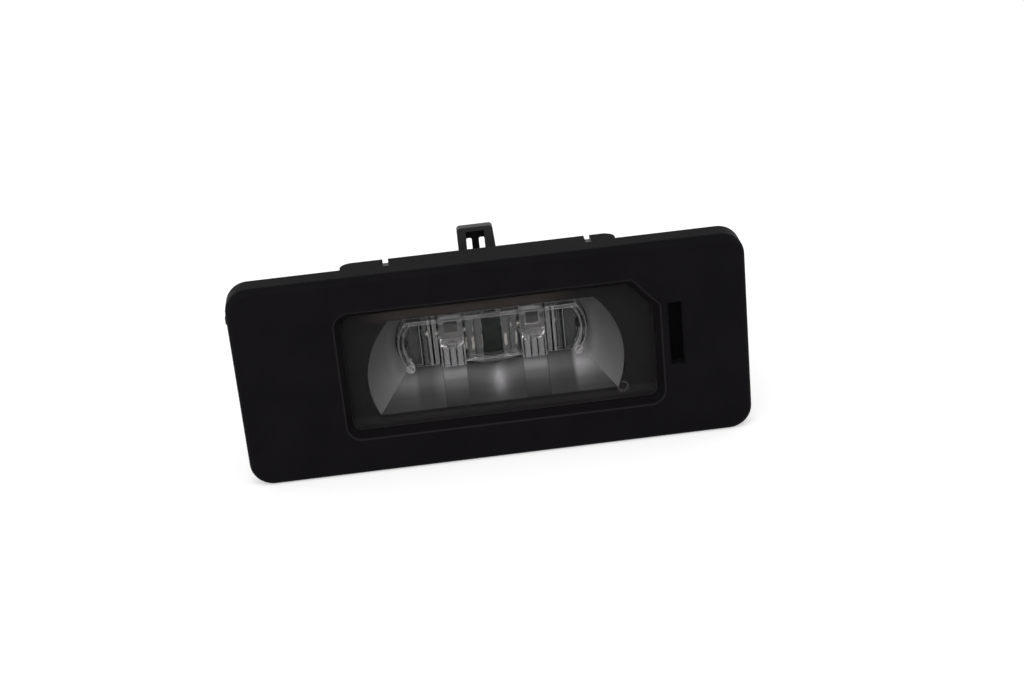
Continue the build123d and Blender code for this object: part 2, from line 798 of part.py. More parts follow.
def make_led(side):
    centre = Pos(OPTIC_X + side * COLLIMATOR_X, WINDOW_Z)
    top = BOARD_Y - LED_TALL
    body = slab(centre * Rectangle(LED_W, LED_H), top, BOARD_Y)
    body = chamfer(edges_at(body, top), LED_EDGE)
    return body - slab(centre * Circle(LED_WINDOW_D / 2), top, top + LED_WINDOW_DEPTH)


def chip(x, width, tall, length):
    """Flat chip in the row on the board's back: a body with slightly larger soldered end caps."""
    base = BOARD_BACK_Y
    half = width / 2
    low = CHIP_ROW_Z - length / 2
    high = CHIP_ROW_Z + length / 2
    body_x = x - half + CHIP_SKIN, x + half - CHIP_SKIN
    body = block(body_x, (base, base + tall - CHIP_SKIN), (low, high))
    for end in ((low, low + CHIP_CAP), (high - CHIP_CAP, high)):
        body += block((x - half, x + half), (base, base + tall), end)
    return body


def make_resistor(index):
    """One of the resistors, counted outwards on the left and then on the right."""
    per_side = RESISTORS // 2
    side = -1 if index < per_side else 1
    x = OPTIC_X + side * (RESISTOR_NEAR + (index % per_side) * RESISTOR_PITCH)
    return chip(x, RESISTOR_W, RESISTOR_TALL, RESISTOR_LEN)


def make_capacitor(side):
    return chip(OPTIC_X + side * CAPACITOR_X, CAPACITOR_W, CAPACITOR_TALL, CAPACITOR_LEN)


def make_diode(side):
    """Moulded two-lead diode with bent leads under its ends."""
    x = OPTIC_X + side * DIODE_X
    z = BOARD_TOP - DIODE_INSET
    base = BOARD_BACK_Y
    top = base + DIODE_TALL
    half = DIODE_LEN / 2
    body = block((x - half, x + half), (base, top), (z - DIODE_W / 2, z + DIODE_W / 2))
    body = chamfer(edges_at(body, top), DIODE_EDGE)
    lead_z = z - DIODE_LEAD_W / 2, z + DIODE_LEAD_W / 2
    reach = half + DIODE_LEAD
    return body + block((x - reach, x + reach), (base, base + DIODE_LEAD_TALL), lead_z)


def make_led_driver():
    """Driver chip: moulded body clear of the board, on two rows of bent legs."""
    z = BOARD_TOP - DRIVER_INSET
    base = BOARD_BACK_Y
    top = base + DRIVER_TALL
    half = DRIVER_LEN / 2
    height = z - DRIVER_W / 2, z + DRIVER_W / 2
    body = block((OPTIC_X - half, OPTIC_X + half), (base + DRIVER_FOOT, top), height)
    body = chamfer(edges_at(body, top), DRIVER_EDGE)
    shoulder = (base + top) / 2
    for index in range(DRIVER_LEGS):
        x = OPTIC_X + (index - (DRIVER_LEGS - 1) / 2) * DRIVER_LEG_PITCH
        width = x - DRIVER_LEG_W / 2, x + DRIVER_LEG_W / 2
        for side in (-1, 1):
            root = z + side * DRIVER_W / 2
            bend = root + side * DRIVER_LEG_REACH / 2
            tip = root + side * DRIVER_LEG_REACH
            arm_z = sorted((root, bend))
            foot_z = sorted((bend, tip))
            drop_z = sorted((bend, bend - side * DRIVER_LEG_THICK))
            body += block(width, (shoulder, shoulder + DRIVER_LEG_THICK), arm_z)
            body += block(width, (base, shoulder + DRIVER_LEG_THICK), drop_z)
            body += block(width, (base, base + DRIVER_LEG_THICK), foot_z)
    return body


def make_terminal(x):
    """Flat blade for the plug, with a narrow tail soldered into the board."""
    tip = REAR_Y + BLADE_REACH
    stop = BOARD_BACK_Y + BLADE_STOP
    half = BLADE_THICK / 2
    blade = block((x - half, x + half), (stop, tip), (SOCKET_Z - BLADE_W / 2, SOCKET_Z + BLADE_W / 2))
    blade = chamfer(edges_at(blade, tip), BLADE_TIP)
    tail_z = SOCKET_Z - TAIL_W / 2, SOCKET_Z + TAIL_W / 2
    return blade + block((x - half, x + half), (BOARD_Y - TAIL_REACH, stop), tail_z)


# Rear housing: cup, board posts, plug socket, tie tab and vent ring


def housing_cup():
    cup = slab(collar_outline(COLLAR_W, COLLAR_H), COLLAR_BACK_Y, REAR_Y)
    cup = fillet(edges_at(cup, REAR_Y), REAR_EDGE)
    spigot_w = COLLAR_IN_W - 2 * SPIGOT_CLEAR
    spigot_h = COLLAR_IN_H - 2 * SPIGOT_CLEAR
    front = COLLAR_BACK_Y - SPIGOT_DEPTH
    cup += slab(collar_outline(spigot_w, spigot_h), front, COLLAR_BACK_Y)
    return cup - slab(collar_outline(CAVITY_W, CAVITY_H), front, REAR_INNER_Y)


def board_posts():
    posts = []
    for x, z in post_places():
        posts.append(slab(Pos(x, z) * Circle(POST_D / 2), BOARD_BACK_Y, REAR_INNER_Y))
    for x, z in stake_places():
        posts.append(slab(Pos(x, z) * Circle(STAKE_D / 2), BOARD_Y, BOARD_BACK_Y))
        head = slab(Pos(x, z) * Circle(STAKE_HEAD_D / 2), BOARD_Y - STAKE_HEAD, BOARD_Y)
        posts.append(fillet(edges_at(head, BOARD_Y - STAKE_HEAD), STAKE_HEAD_ROUND))
    return posts


def socket_outline(grow):
    size = SOCKET_W + 2 * grow, SOCKET_H + 2 * grow
    return Pos(SOCKET_X, SOCKET_Z) * RectangleRounded(*size, SOCKET_CORNER + grow)


def plug_socket():
    """Open shroud round the terminals, with two key ribs on its floor."""
    shroud = slab(socket_outline(SOCKET_WALL), REAR_Y, SOCKET_Y)
    shroud = fillet(edges_at(shroud, SOCKET_Y), SOCKET_EDGE)
    shroud -= slab(socket_outline(0), REAR_Y, SOCKET_Y)
    floor = SOCKET_Z - SOCKET_H / 2
    for side in (-1, 1):
        x = SOCKET_X + side * KEY_PITCH / 2
        width = x - KEY_W / 2, x + KEY_W / 2
        height = floor - SOCKET_WALL / 2, floor + KEY_RISE
        shroud += block(width, (REAR_Y, SOCKET_Y - SOCKET_WALL), height)
    return shroud


def socket_webs():
    """Triangular webs that brace the shroud against the rear wall."""
    webs = []
    for side in (-1, 1):
        near = SOCKET_X + side * (SOCKET_W / 2 + SOCKET_WALL / 2)
        far = SOCKET_X + side * (SOCKET_W / 2 + SOCKET_WALL + WEB_REACH)
        inside_wall = REAR_Y - REAR_WALL / 2
        web = polygon((near, inside_wall), (far, inside_wall), (far, REAR_Y), (near, REAR_Y + WEB_RUN))
        webs.append(upright(web, SOCKET_Z - WEB_THICK / 2, SOCKET_Z + WEB_THICK / 2))
    return webs


def tie_tab():
    """Upright tab for a cable tie: rounded frame, pocket in its front and two windows."""
    half = TAB_W / 2
    root = COLLAR_TOP - HOUSING_WALL / 2
    top = FLANGE_H / 2
    front = REAR_Y - TAB_THICK
    outline = polygon(
        (TAB_X - half, root),
        (TAB_X - half, top),
        (TAB_X + half, top),
        (TAB_X + half + TAB_FLARE, root),
    )
    outline = fillet(outline.vertices().group_by(Axis.Y)[-1], TAB_CORNER)
    tab = slab(outline, front, REAR_Y)
    pocket_top = top - TAB_BAR
    pocket_x = TAB_X - TAB_POCKET_W / 2, TAB_X + TAB_POCKET_W / 2
    tab -= block(pocket_x, (front, front + TAB_POCKET_DEPTH), (COLLAR_TOP, pocket_top))
    window_h = pocket_top - TAB_WEB - COLLAR_TOP
    for side in (-1, 1):
        x = TAB_X + side * TAB_WINDOW_PITCH / 2
        opening = Pos(x, COLLAR_TOP + window_h / 2) * Rectangle(TAB_WINDOW_W, window_h)
        opening = fillet(opening.vertices().group_by(Axis.Y)[-1], TAB_WINDOW_CORNER)
        tab -= slab(opening, front, REAR_Y)
    return tab


def vent_ring():
    """Raised ring round the vent that the membrane lies in."""
    inner = MEMBRANE_D / 2 + MEMBRANE_CLEAR
    centre = Pos(VENT_X, VENT_Z)
    ring = centre * (Circle(inner + VENT_RING_WALL) - Circle(inner))
    return slab(ring, REAR_Y, REAR_Y + VENT_RING)


def make_rear_housing():
    housing = housing_cup() + board_posts() + plug_socket() + socket_webs()
    housing += tie_tab()
    housing += vent_ring()
    housing -= slab(Pos(VENT_X, VENT_Z) * Circle(VENT_HOLE_D / 2), REAR_INNER_Y, REAR_Y)
    for x in blade_places():
        size = BLADE_THICK + 2 * BLADE_CLEAR, BLADE_W + 2 * BLADE_CLEAR
        housing -= slab(Pos(x, SOCKET_Z) * Rectangle(*size), REAR_INNER_Y, REAR_Y)
    return housing


def make_vent_membrane():
    return slab(Pos(VENT_X, VENT_Z) * Circle(MEMBRANE_D / 2), REAR_Y, REAR_Y + MEMBRANE_THICK)


def make_pieces():
    """Every piece of the lamp, by node name."""
    pieces = {
        "bezel": make_bezel(),
        "lens": make_lens(),
        "reflector": make_reflector(),
        "light_guide": make_light_guide(),
        "circuit_board": make_board(),
        "led_left": make_led(-1),
        "led_right": make_led(1),
        "diode_left": make_diode(-1),
        "diode_right": make_diode(1),
        "capacitor_left": make_capacitor(-1),
        "capacitor_right": make_capacitor(1),
        "led_driver": make_led_driver(),
        "rear_housing": make_rear_housing(),
        "vent_membrane": make_vent_membrane(),
    }
    for index in range(RESISTORS):
        pieces[f"resistor_{index + 1}"] = make_resistor(index)
    for name, x in zip(("terminal_left", "terminal_right"), blade_places()):
        pieces[name] = make_terminal(x)
    return pieces


os.makedirs("parts", exist_ok=True)
for node, solid in make_pieces().items():
    export_step(solid, f"parts/{node}.step")
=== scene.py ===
"""Looks of a snap-in number plate lamp: a finish for every piece, small moulding and soldering detail, and a
plain white studio seen from the front and a little above."""

from math import radians

import bpy
from mathutils import Matrix, Vector


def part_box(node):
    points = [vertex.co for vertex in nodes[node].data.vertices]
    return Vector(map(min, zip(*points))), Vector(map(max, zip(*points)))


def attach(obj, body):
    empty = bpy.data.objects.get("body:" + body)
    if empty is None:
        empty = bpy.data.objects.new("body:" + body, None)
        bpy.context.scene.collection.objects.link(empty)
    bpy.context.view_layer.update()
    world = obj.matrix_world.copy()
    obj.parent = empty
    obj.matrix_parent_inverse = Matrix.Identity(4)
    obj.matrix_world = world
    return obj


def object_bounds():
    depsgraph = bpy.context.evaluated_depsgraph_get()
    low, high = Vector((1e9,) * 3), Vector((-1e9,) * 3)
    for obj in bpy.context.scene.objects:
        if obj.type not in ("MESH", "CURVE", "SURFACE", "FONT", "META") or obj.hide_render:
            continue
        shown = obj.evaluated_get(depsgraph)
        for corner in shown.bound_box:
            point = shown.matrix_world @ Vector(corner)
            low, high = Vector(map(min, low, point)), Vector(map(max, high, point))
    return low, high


MM = 0.001
WHITE = (1.0, 1.0, 1.0)

# Camera, in the lamp's frame
CAMERA_AT = Vector((-9.807, -252.941, 110.736)) * MM
CAMERA_LOOKS_AT = Vector((2.974, 0.0, 1.438)) * MM
CAMERA_ROLL = radians(-5.71)
CAMERA_LENS = 66.8
CAMERA_NEAR = 10 * MM

# Studio: floor, even light all round, and soft lights by name, place, width, height and power
FLOOR_HALF = 2.5
FLOOR_GREY = (0.8, 0.8, 0.8)
FLOOR_LIFT = 0.3
WORLD_GREY = 0.75
SOFTBOXES = (
    ("softbox_front", (-0.13, -0.53, 0.31), 0.35, 0.35, 0.8),
    ("softbox_right", (0.5, -0.3, 0.25), 0.4, 0.4, 1.2),
    ("softbox_left", (-0.5, -0.32, 0.25), 0.4, 0.4, 1.3),
    ("key", (0.0, -0.298, 0.521), 0.03, 0.09, 0.24),
)

# Range in which a noise mostly lies, and the lean of the normal at which an edge begins
NOISE_RANGE = (0.3, 0.7)
FLAT_LEAN = 0.99

# Moulded black plastic: darker and lighter clouds in it, its grain and its rounded edges
FACE_BLACKS = (0.0043, 0.0038, 0.0045), (0.0053, 0.0047, 0.0055)
HOUSING_BLACKS = (0.021, 0.02, 0.0212), (0.027, 0.0258, 0.0273)
CLOUD_SIZE = 6 * MM
CLOUD_RANGE = (0.35, 0.65)
GRAIN_SIZE = 0.22 * MM
GRAIN_SPREAD = 0.06
MOULDED_EDGE = 0.18 * MM

# Slits in the bezel's lip, down from its top, with the pale ground that shows in them
SLIT_PLACES = (-13.845 * MM, 15.205 * MM)
SLIT_HALF = 0.42 * MM
SLIT_DEPTH = 0.62 * MM
SLIT_SKIN = 0.02 * MM
SLIT_FRONT = -0.45 * MM
SLIT_GREY = (0.16, 0.16, 0.16)

# Recess of the lens: its bevelled sides, a painted highlight line along its edge, and the mask that shows through
# the lens
LENS_CORNER = 1.2 * MM
RECESS_BEVEL = 1.0 * MM
RECESS_BLACK = (0.0042, 0.0037, 0.0043)
HIGHLIGHT_LINE = 0.14 * MM
HIGHLIGHT_SOFT = 0.06 * MM
HIGHLIGHT_BLACK = (0.0125, 0.0114, 0.0119)
SEAT_WALL = 0.2 * MM
SEAT_SOFT = 0.02 * MM
MASK_GREY = (0.0175, 0.0168, 0.017)
# The mask's lower strip is painted paler: painted light against the shade that falls there
MASK_LOW = -7.6 * MM
MASK_LOW_SOFT = 0.3 * MM
MASK_LOW_LIT_GREY = (0.027, 0.026, 0.0262)

# Brown band along the top of that mask
BAND_BOTTOM = 7.15 * MM
BAND_BOTTOM_SOFT = 0.4 * MM
BAND_MIDDLE = -3.0 * MM
BAND_HALF = 13.0 * MM
BAND_END_SOFT = 3 * MM
BAND_BROWN = (0.045, 0.0385, 0.034)

# Cut corner of the recess, top right: its edge on the bezel's face runs between two places, across and up
CUT_START = (20.45 * MM, 10.17 * MM)
CUT_END = (24.29 * MM, 5.89 * MM)
CUT_LAP = 0.15 * MM
CUT_SINK = 0.02 * MM

# Back of the bezel's face, and the round marks that the ejector pins leave there
FACE_BACK = -2.0 * MM
FACE_BACK_SLACK = 0.05 * MM
TRAY_HALF = 13.6 * MM
# Behind its face the bezel is painted paler than the face: painted light where it lies in shade
TRAY_LIT_BLACK = (0.0125, 0.012, 0.0126)
MARK_RADIUS = 1.4 * MM
MARK_LINE = 0.07 * MM
MARK_SIDES = 40
MARK_ACROSS = (-32.8 * MM, 33.2 * MM)
MARK_UP = (-11.55 * MM, 0.2 * MM, 11.75 * MM)

# Rear housing: painted shade in its inner corners and in the pocket in the front of its tab
CORNER_REACH = 1.0 * MM
CORNER_OPEN = 0.6
CORNER_SOFT = 0.3
CORNER_SHADE_BLACK = (0.004, 0.0038, 0.0041)
TAB_MIDDLE = -0.35 * MM
POCKET_HALF = 1.37 * MM
POCKET_DEPTHS = (11.45 * MM, 12.1 * MM)
POCKET_HEIGHTS = (10.75 * MM, 14.6 * MM)
POCKET_SHADE_BLACK = (0.0015, 0.0013, 0.0016)

# Seam between the bezel's collar and the rear housing, and the flash that its weld leaves
COLLAR_HEIGHT = 22.3 * MM
COLLAR_CORNER = 3.6 * MM
COLLAR_CORNER_STEPS = 8
FLASH_RADIUS = 0.12 * MM
FLASH_STEP = 0.7 * MM
FLASH_RANGE = (0.7, 1.15)
FLASH_SEED = 4
TUBE_SIDES = 10

# Lens: clear body, gloss on its front, edges paler as a painted highlight, and a paler sunk mark
LENS_TINT = (0.91, 0.905, 0.91)
LENS_SMEAR = 3 * MM
LENS_ROUND = 0.15 * MM
LENS_FRONT_LEAN = -0.3
LENS_GLOSS_START = 0.06
LENS_GLOSS_MOST = 0.9
LENS_EDGE = 0.1 * MM
LENS_EDGE_LEAN = 0.3
LENS_HIGHLIGHT_AND_MARK_GREY = (0.6, 0.6, 0.6)
LENS_EDGE_SHARE = 0.05
LENS_MARK_LEAN = -0.95
LENS_MARK_DEPTHS = (0.05 * MM, 0.2 * MM)

# Light guide: how clear it is from each distance in millimetres from its middle on
GUIDE_ZONES = (
    (0.0, 1.0), (1.45, 0.92), (2.5, 0.97), (2.62, 0.91), (3.7, 0.98), (4.2, 0.97), (7.8, 1.0), (8.1, 0.86),
    (8.65, 1.0), (9.03, 0.84), (9.33, 0.95), (10.19, 1.0), (10.57, 0.962), (12.2, 0.972),
)
GUIDE_ZONES_END = 16

# Collectors of the guide, with columns below, a dome and a well over it
COLLECTOR_NEAR = 4.2 * MM
COLLECTOR_FAR = 7.8 * MM
COLLECTOR_MIDDLE = 6.0 * MM
COLUMN_TOP = 0.1 * MM
COLUMN_PITCH = 1.0 * MM
COLUMN_START = -3.5 * COLUMN_PITCH
COLUMN_GAP = 0.09 * MM
COLUMN_GAP_SOFT = 0.03 * MM
DOME_TOP = 1.6 * MM
WELL_HALF = 1.0 * MM
WELL_HEIGHTS = (2.32 * MM, 4.32 * MM)

# Other features of the guide: bar, foot, pegs, double end walls and moulded edges; the pegs, the end walls' lines
# and the edges are frosted pale as painted highlights
GUIDE_BAR = 3.92 * MM
GUIDE_FOOT = -2.38 * MM
GUIDE_TOP_LEAN = 0.7
PEG_PLACE = (12.48 * MM, -2.68 * MM)
PEG_RADIUS = 0.7 * MM
PEG_SOFT = 0.05 * MM
END_WALL_CENTRE = (8.3 * MM, 0.77 * MM)
END_WALL_START = 11.9 * MM
END_WALL_LINES = (4.9 * MM, 5.6 * MM)
END_WALL_HALF = 0.11 * MM
END_WALL_SOFT = 0.04 * MM
GUIDE_EDGE = 0.2 * MM
GUIDE_EDGE_LEAN = 0.2
GUIDE_EDGE_REACH = 0.5 * MM
GUIDE_EDGE_OPEN = 0.55
GUIDE_EDGE_SOFT = 0.15
GUIDE_REACH = 0.35 * MM

# Greys of the guide's frosted parts: open ground, and painted shade deep in the ground, in the wells, in the gaps
# between columns and on the upper sides
GUIDE_OPEN_GREY = (0.95, 0.95, 0.95)
GUIDE_SHADE_GREY = (0.12, 0.12, 0.12)
WELL_SHADE_GREY = (0.5, 0.5, 0.5)
GAP_SHADE_GREY = (0.04, 0.04, 0.04)
UPPER_SHADE_GREY = (0.6, 0.6, 0.6)

# Reflector's grey, with painted light and shade: how pale it is from its front edge to the guide, in each part of
# its lower slope and on the walls
TROUGH_PAINTED_LIGHT = ((0.1, 0.014), (0.32, 0.018), (0.52, 0.045), (0.68, 0.087), (0.8, 0.094), (0.94, 0.036))
FACET_PAINTED_LIGHT = ((0.1, 0.07), (0.5, 0.064), (0.72, 0.104), (0.88, 0.29))
WING_PAINTED_LIGHT = ((0.13, 0.016), (0.33, 0.022), (0.47, 0.044), (0.65, 0.094), (0.8, 0.098), (0.95, 0.086))
END_PAINTED_LIGHT = ((0.13, 0.034), (0.33, 0.1), (0.5, 0.23), (0.65, 0.36), (0.9, 0.34))
WALL_PAINTED_LIGHT = ((0.2, 0.113), (0.6, 0.126), (1.0, 0.185))
SLOPE_LEAN = (0.25, 0.6)

# Where painted light stands for light through the guide's ends and collectors, making the slope paler, and how
# much on the left and right
END_START = 11.7 * MM
END_SOFT = 0.3 * MM
END_FULL = 12.4 * MM
END_FAR = 15.0 * MM
END_FADE = 0.45
END_AMOUNTS = (0.25, 1.0)
NEAR_FAR = 9.6 * MM
NEAR_AMOUNTS = (0.36, 0.14)

# Reflector's metal: clouds in it, dark edges, and its satin beside the facets, in them and in the trough
SILVER_CLOUD = 2.5 * MM
SILVER_CLOUD_SHARE = 0.08
SILVER_EDGE = 0.12 * MM
SILVER_EDGE_LEAN = 0.1
SILVER_EDGE_GREY = (0.03, 0.029, 0.03)
WING_SATIN = 0.45
FACET_SATIN = 0.38
TROUGH_SATIN = 0.4
SATIN_SPREAD = 0.02
DULL_METAL = 0.3
FULL_METAL = 0.85

# Board with tracks under its mask, and the LEDs on it, each with a window
TRACK_SIZE = 3.0 * MM
TRACK_EDGE = 0.09
TRACK_SOFT = 0.02
TRACK_GREEN = (0.022, 0.032, 0.025)
MASK_GREEN = (0.0125, 0.0175, 0.014)
TRACK_HEIGHT = 0.03 * MM
WINDOW_RADIUS = 1.12 * MM
WINDOW_SOFT = 0.03 * MM
# LED colours darkened: painted shade from the guide in front
WINDOW_SHADE_YELLOW = (0.135, 0.13, 0.11)
PACKAGE_SHADE_GREY = (0.12, 0.12, 0.117)
PACKAGE_GRAIN = 0.15 * MM
PACKAGE_GRAIN_DEPTH = 0.004 * MM

# Chips on the board, by name, with their body's colour and the length and direction of their tinned ends
RESISTORS = ("resistor_1", "resistor_2", "resistor_3", "resistor_4")
CAPACITORS = ("capacitor_left", "capacitor_right")
DIODES = ("diode_left", "diode_right")
LEDS = ("led_left", "led_right")
TERMINALS = ("terminal_left", "terminal_right")
CHIP_BLACK = (0.02, 0.02, 0.021)
CHIP_BROWN = (0.3, 0.2, 0.11)
CHIPS = (
    (RESISTORS, CHIP_BLACK, 0.42 * MM, "Z"),
    (CAPACITORS, CHIP_BROWN, 0.42 * MM, "Z"),
    (DIODES, CHIP_BLACK, 0.5 * MM, "X"),
    (("led_driver",), CHIP_BLACK, 1.0 * MM, "Z"),
)
CAP_TIN = (0.62, 0.61, 0.58)
CAP_SOFT = 0.01 * MM
CHIP_GRAIN = 0.2 * MM
CHIP_GRAIN_DEPTH = 0.006 * MM

# Solder joints of the chips, the driver's pins and the terminals' tails
JOINT_SIZE = (0.62 * MM, 0.42 * MM, 0.5 * MM)
JOINT_RANGE = (0.9, 1.1)
JOINT_SEED = 9
DRIVER_PINS = (-1.5, -0.5, 0.5, 1.5)
DRIVER_PIN_PITCH = 1.27 * MM
TAIL_JOINT_PITCH = 1.3 * MM

# Tinned terminals, with marks along their length, and the porous film of the vent
TIN_COLOURS = (0.6, 0.57, 0.49), (0.7, 0.68, 0.63)
TIN_CLOUD = 1.5 * MM
TIN_EDGE = 0.08 * MM
DRAWN_MARK = 0.12 * MM
DRAWN_STRETCH = (1.0, 0.06, 1.0)
DRAWN_DEPTH = 0.004 * MM
FILM_COLOURS = (0.82, 0.82, 0.8), (0.66, 0.66, 0.64)
FILM_WEB = 0.3 * MM
FILM_WEB_WIDTH = 0.25
FILM_DEPTH = 0.02 * MM

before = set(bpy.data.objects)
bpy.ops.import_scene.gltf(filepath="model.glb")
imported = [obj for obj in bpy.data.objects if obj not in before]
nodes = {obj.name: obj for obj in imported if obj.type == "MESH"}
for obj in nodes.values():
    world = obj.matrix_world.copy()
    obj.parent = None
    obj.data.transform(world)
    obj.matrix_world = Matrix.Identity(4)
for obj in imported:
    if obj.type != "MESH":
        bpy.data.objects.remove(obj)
cad_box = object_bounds()


class NodeTree:
    """A node tree in the making, and short ways to add nodes to it."""

    def __init__(self, tree):
        self.tree = tree

    def node(self, kind, mode=None, **inputs):
        """New node, in a mode where it has one, with some inputs set to a value or linked from a socket."""
        made = self.tree.nodes.new(kind)
        if mode:
            made.mode = mode
        for name, value in inputs.items():
            self.put(value, made.inputs[name.replace("_", " ")])
        return made

    def put(self, value, socket):
        """Link an input from a socket, or set it to a value. A colour is its red, green and blue."""
        if isinstance(value, bpy.types.NodeSocket):
            self.tree.links.new(value, socket)
        elif socket.type == "RGBA":
            socket.default_value = (*value, 1.0)
        else:
            socket.default_value = value

    def math(self, operation, first, second=0.0):
        made = self.tree.nodes.new("ShaderNodeMath")
        made.operation = operation
        self.put(first, made.inputs[0])
        self.put(second, made.inputs[1])
        return made.outputs[0]

    def all_of(self, share, *others):
        """Product of some shares."""
        for other in others:
            share = self.math("MULTIPLY", share, other)
        return share

    def any_of(self, share, *others):
        """Largest of some shares."""
        for other in others:
            share = self.math("MAXIMUM", share, other)
        return share

    def spread(self, value, low, high, start=0.0, end=1.0):
        """The value from start to end, spread over low to high."""
        made = self.node("ShaderNodeMapRange", Value=value)
        made.inputs["From Min"].default_value = start
        made.inputs["From Max"].default_value = end
        made.inputs["To Min"].default_value = low
        made.inputs["To Max"].default_value = high
        return made.outputs["Result"]

    def seen(self):
        """1 where the camera, a mirror or a clear piece looks, 0 for light on its way to other surfaces."""
        path = self.node("ShaderNodeLightPath").outputs
        return self.any_of(path["Is Camera Ray"], path["Is Glossy Ray"], path["Is Transmission Ray"])


class Growth(NodeTree):
    """A geometry tree in the making, with a named input for each of its sizes."""

    def __init__(self, name, **sizes):
        super().__init__(bpy.data.node_groups.new(name, "GeometryNodeTree"))
        self.name = name
        self.sizes = {}
        face = self.tree.interface
        face.new_socket("Places", in_out="INPUT", socket_type="NodeSocketGeometry")
        for size, value in sizes.items():
            kind = "NodeSocketVector" if isinstance(value, tuple) else "NodeSocketFloat"
            made = face.new_socket(size, in_out="INPUT", socket_type=kind)
            self.sizes[made.identifier] = value
        face.new_socket("Piece", in_out="OUTPUT", socket_type="NodeSocketGeometry")
        self.given = self.tree.nodes.new("NodeGroupInput").outputs

    def chance(self, low, high, seed):
        """Value between low and high, drawn anew for each point with a fixed seed."""
        made = self.node("FunctionNodeRandomValue", Seed=seed)
        made.inputs[2].default_value = low
        made.inputs[3].default_value = high
        return made.outputs[1]

    def turned_up(self, shape):
        """The shape turned from the flat onto the lamp's face."""
        turn = (radians(90), 0.0, 0.0)
        return self.node("GeometryNodeTransform", Geometry=shape, Rotation=turn).outputs[0]

    def tube(self, path, radius):
        """Round tube along a path."""
        ring = self.node("GeometryNodeCurvePrimitiveCircle", Resolution=TUBE_SIDES, Radius=radius).outputs[0]
        return self.node("GeometryNodeCurveToMesh", Curve=path, Profile_Curve=ring).outputs[0]

    def at_places(self, shape, **inputs):
        """The shape at each of the given places."""
        places = self.given["Places"]
        return self.node("GeometryNodeInstanceOnPoints", Points=places, Instance=shape, **inputs).outputs[0]

    def grow(self, shape, places, material, slot):
        """Plain mesh piece, of the shape that the tree makes at some places."""
        smooth = self.node("GeometryNodeSetShadeSmooth", Geometry=shape)
        real = self.node("GeometryNodeRealizeInstances", Geometry=smooth.outputs[0])
        coloured = self.node("GeometryNodeSetMaterial", Geometry=real.outputs[0], Material=material)
        self.node("NodeGroupOutput", Piece=coloured.outputs[0])
        points = bpy.data.meshes.new(self.name + "_places")
        points.from_pydata(places, [], [])
        seed = bpy.data.objects.new(points.name, points)
        bpy.context.scene.collection.objects.link(seed)
        modifier = seed.modifiers.new(self.name, "NODES")
        modifier.node_group = self.tree
        for identifier, value in self.sizes.items():
            modifier[identifier] = value
        ready = seed.evaluated_get(bpy.context.evaluated_depsgraph_get())
        mesh = bpy.data.meshes.new_from_object(ready)
        seed.modifiers.remove(modifier)
        bpy.data.objects.remove(seed)
        add_piece(self.name, mesh)


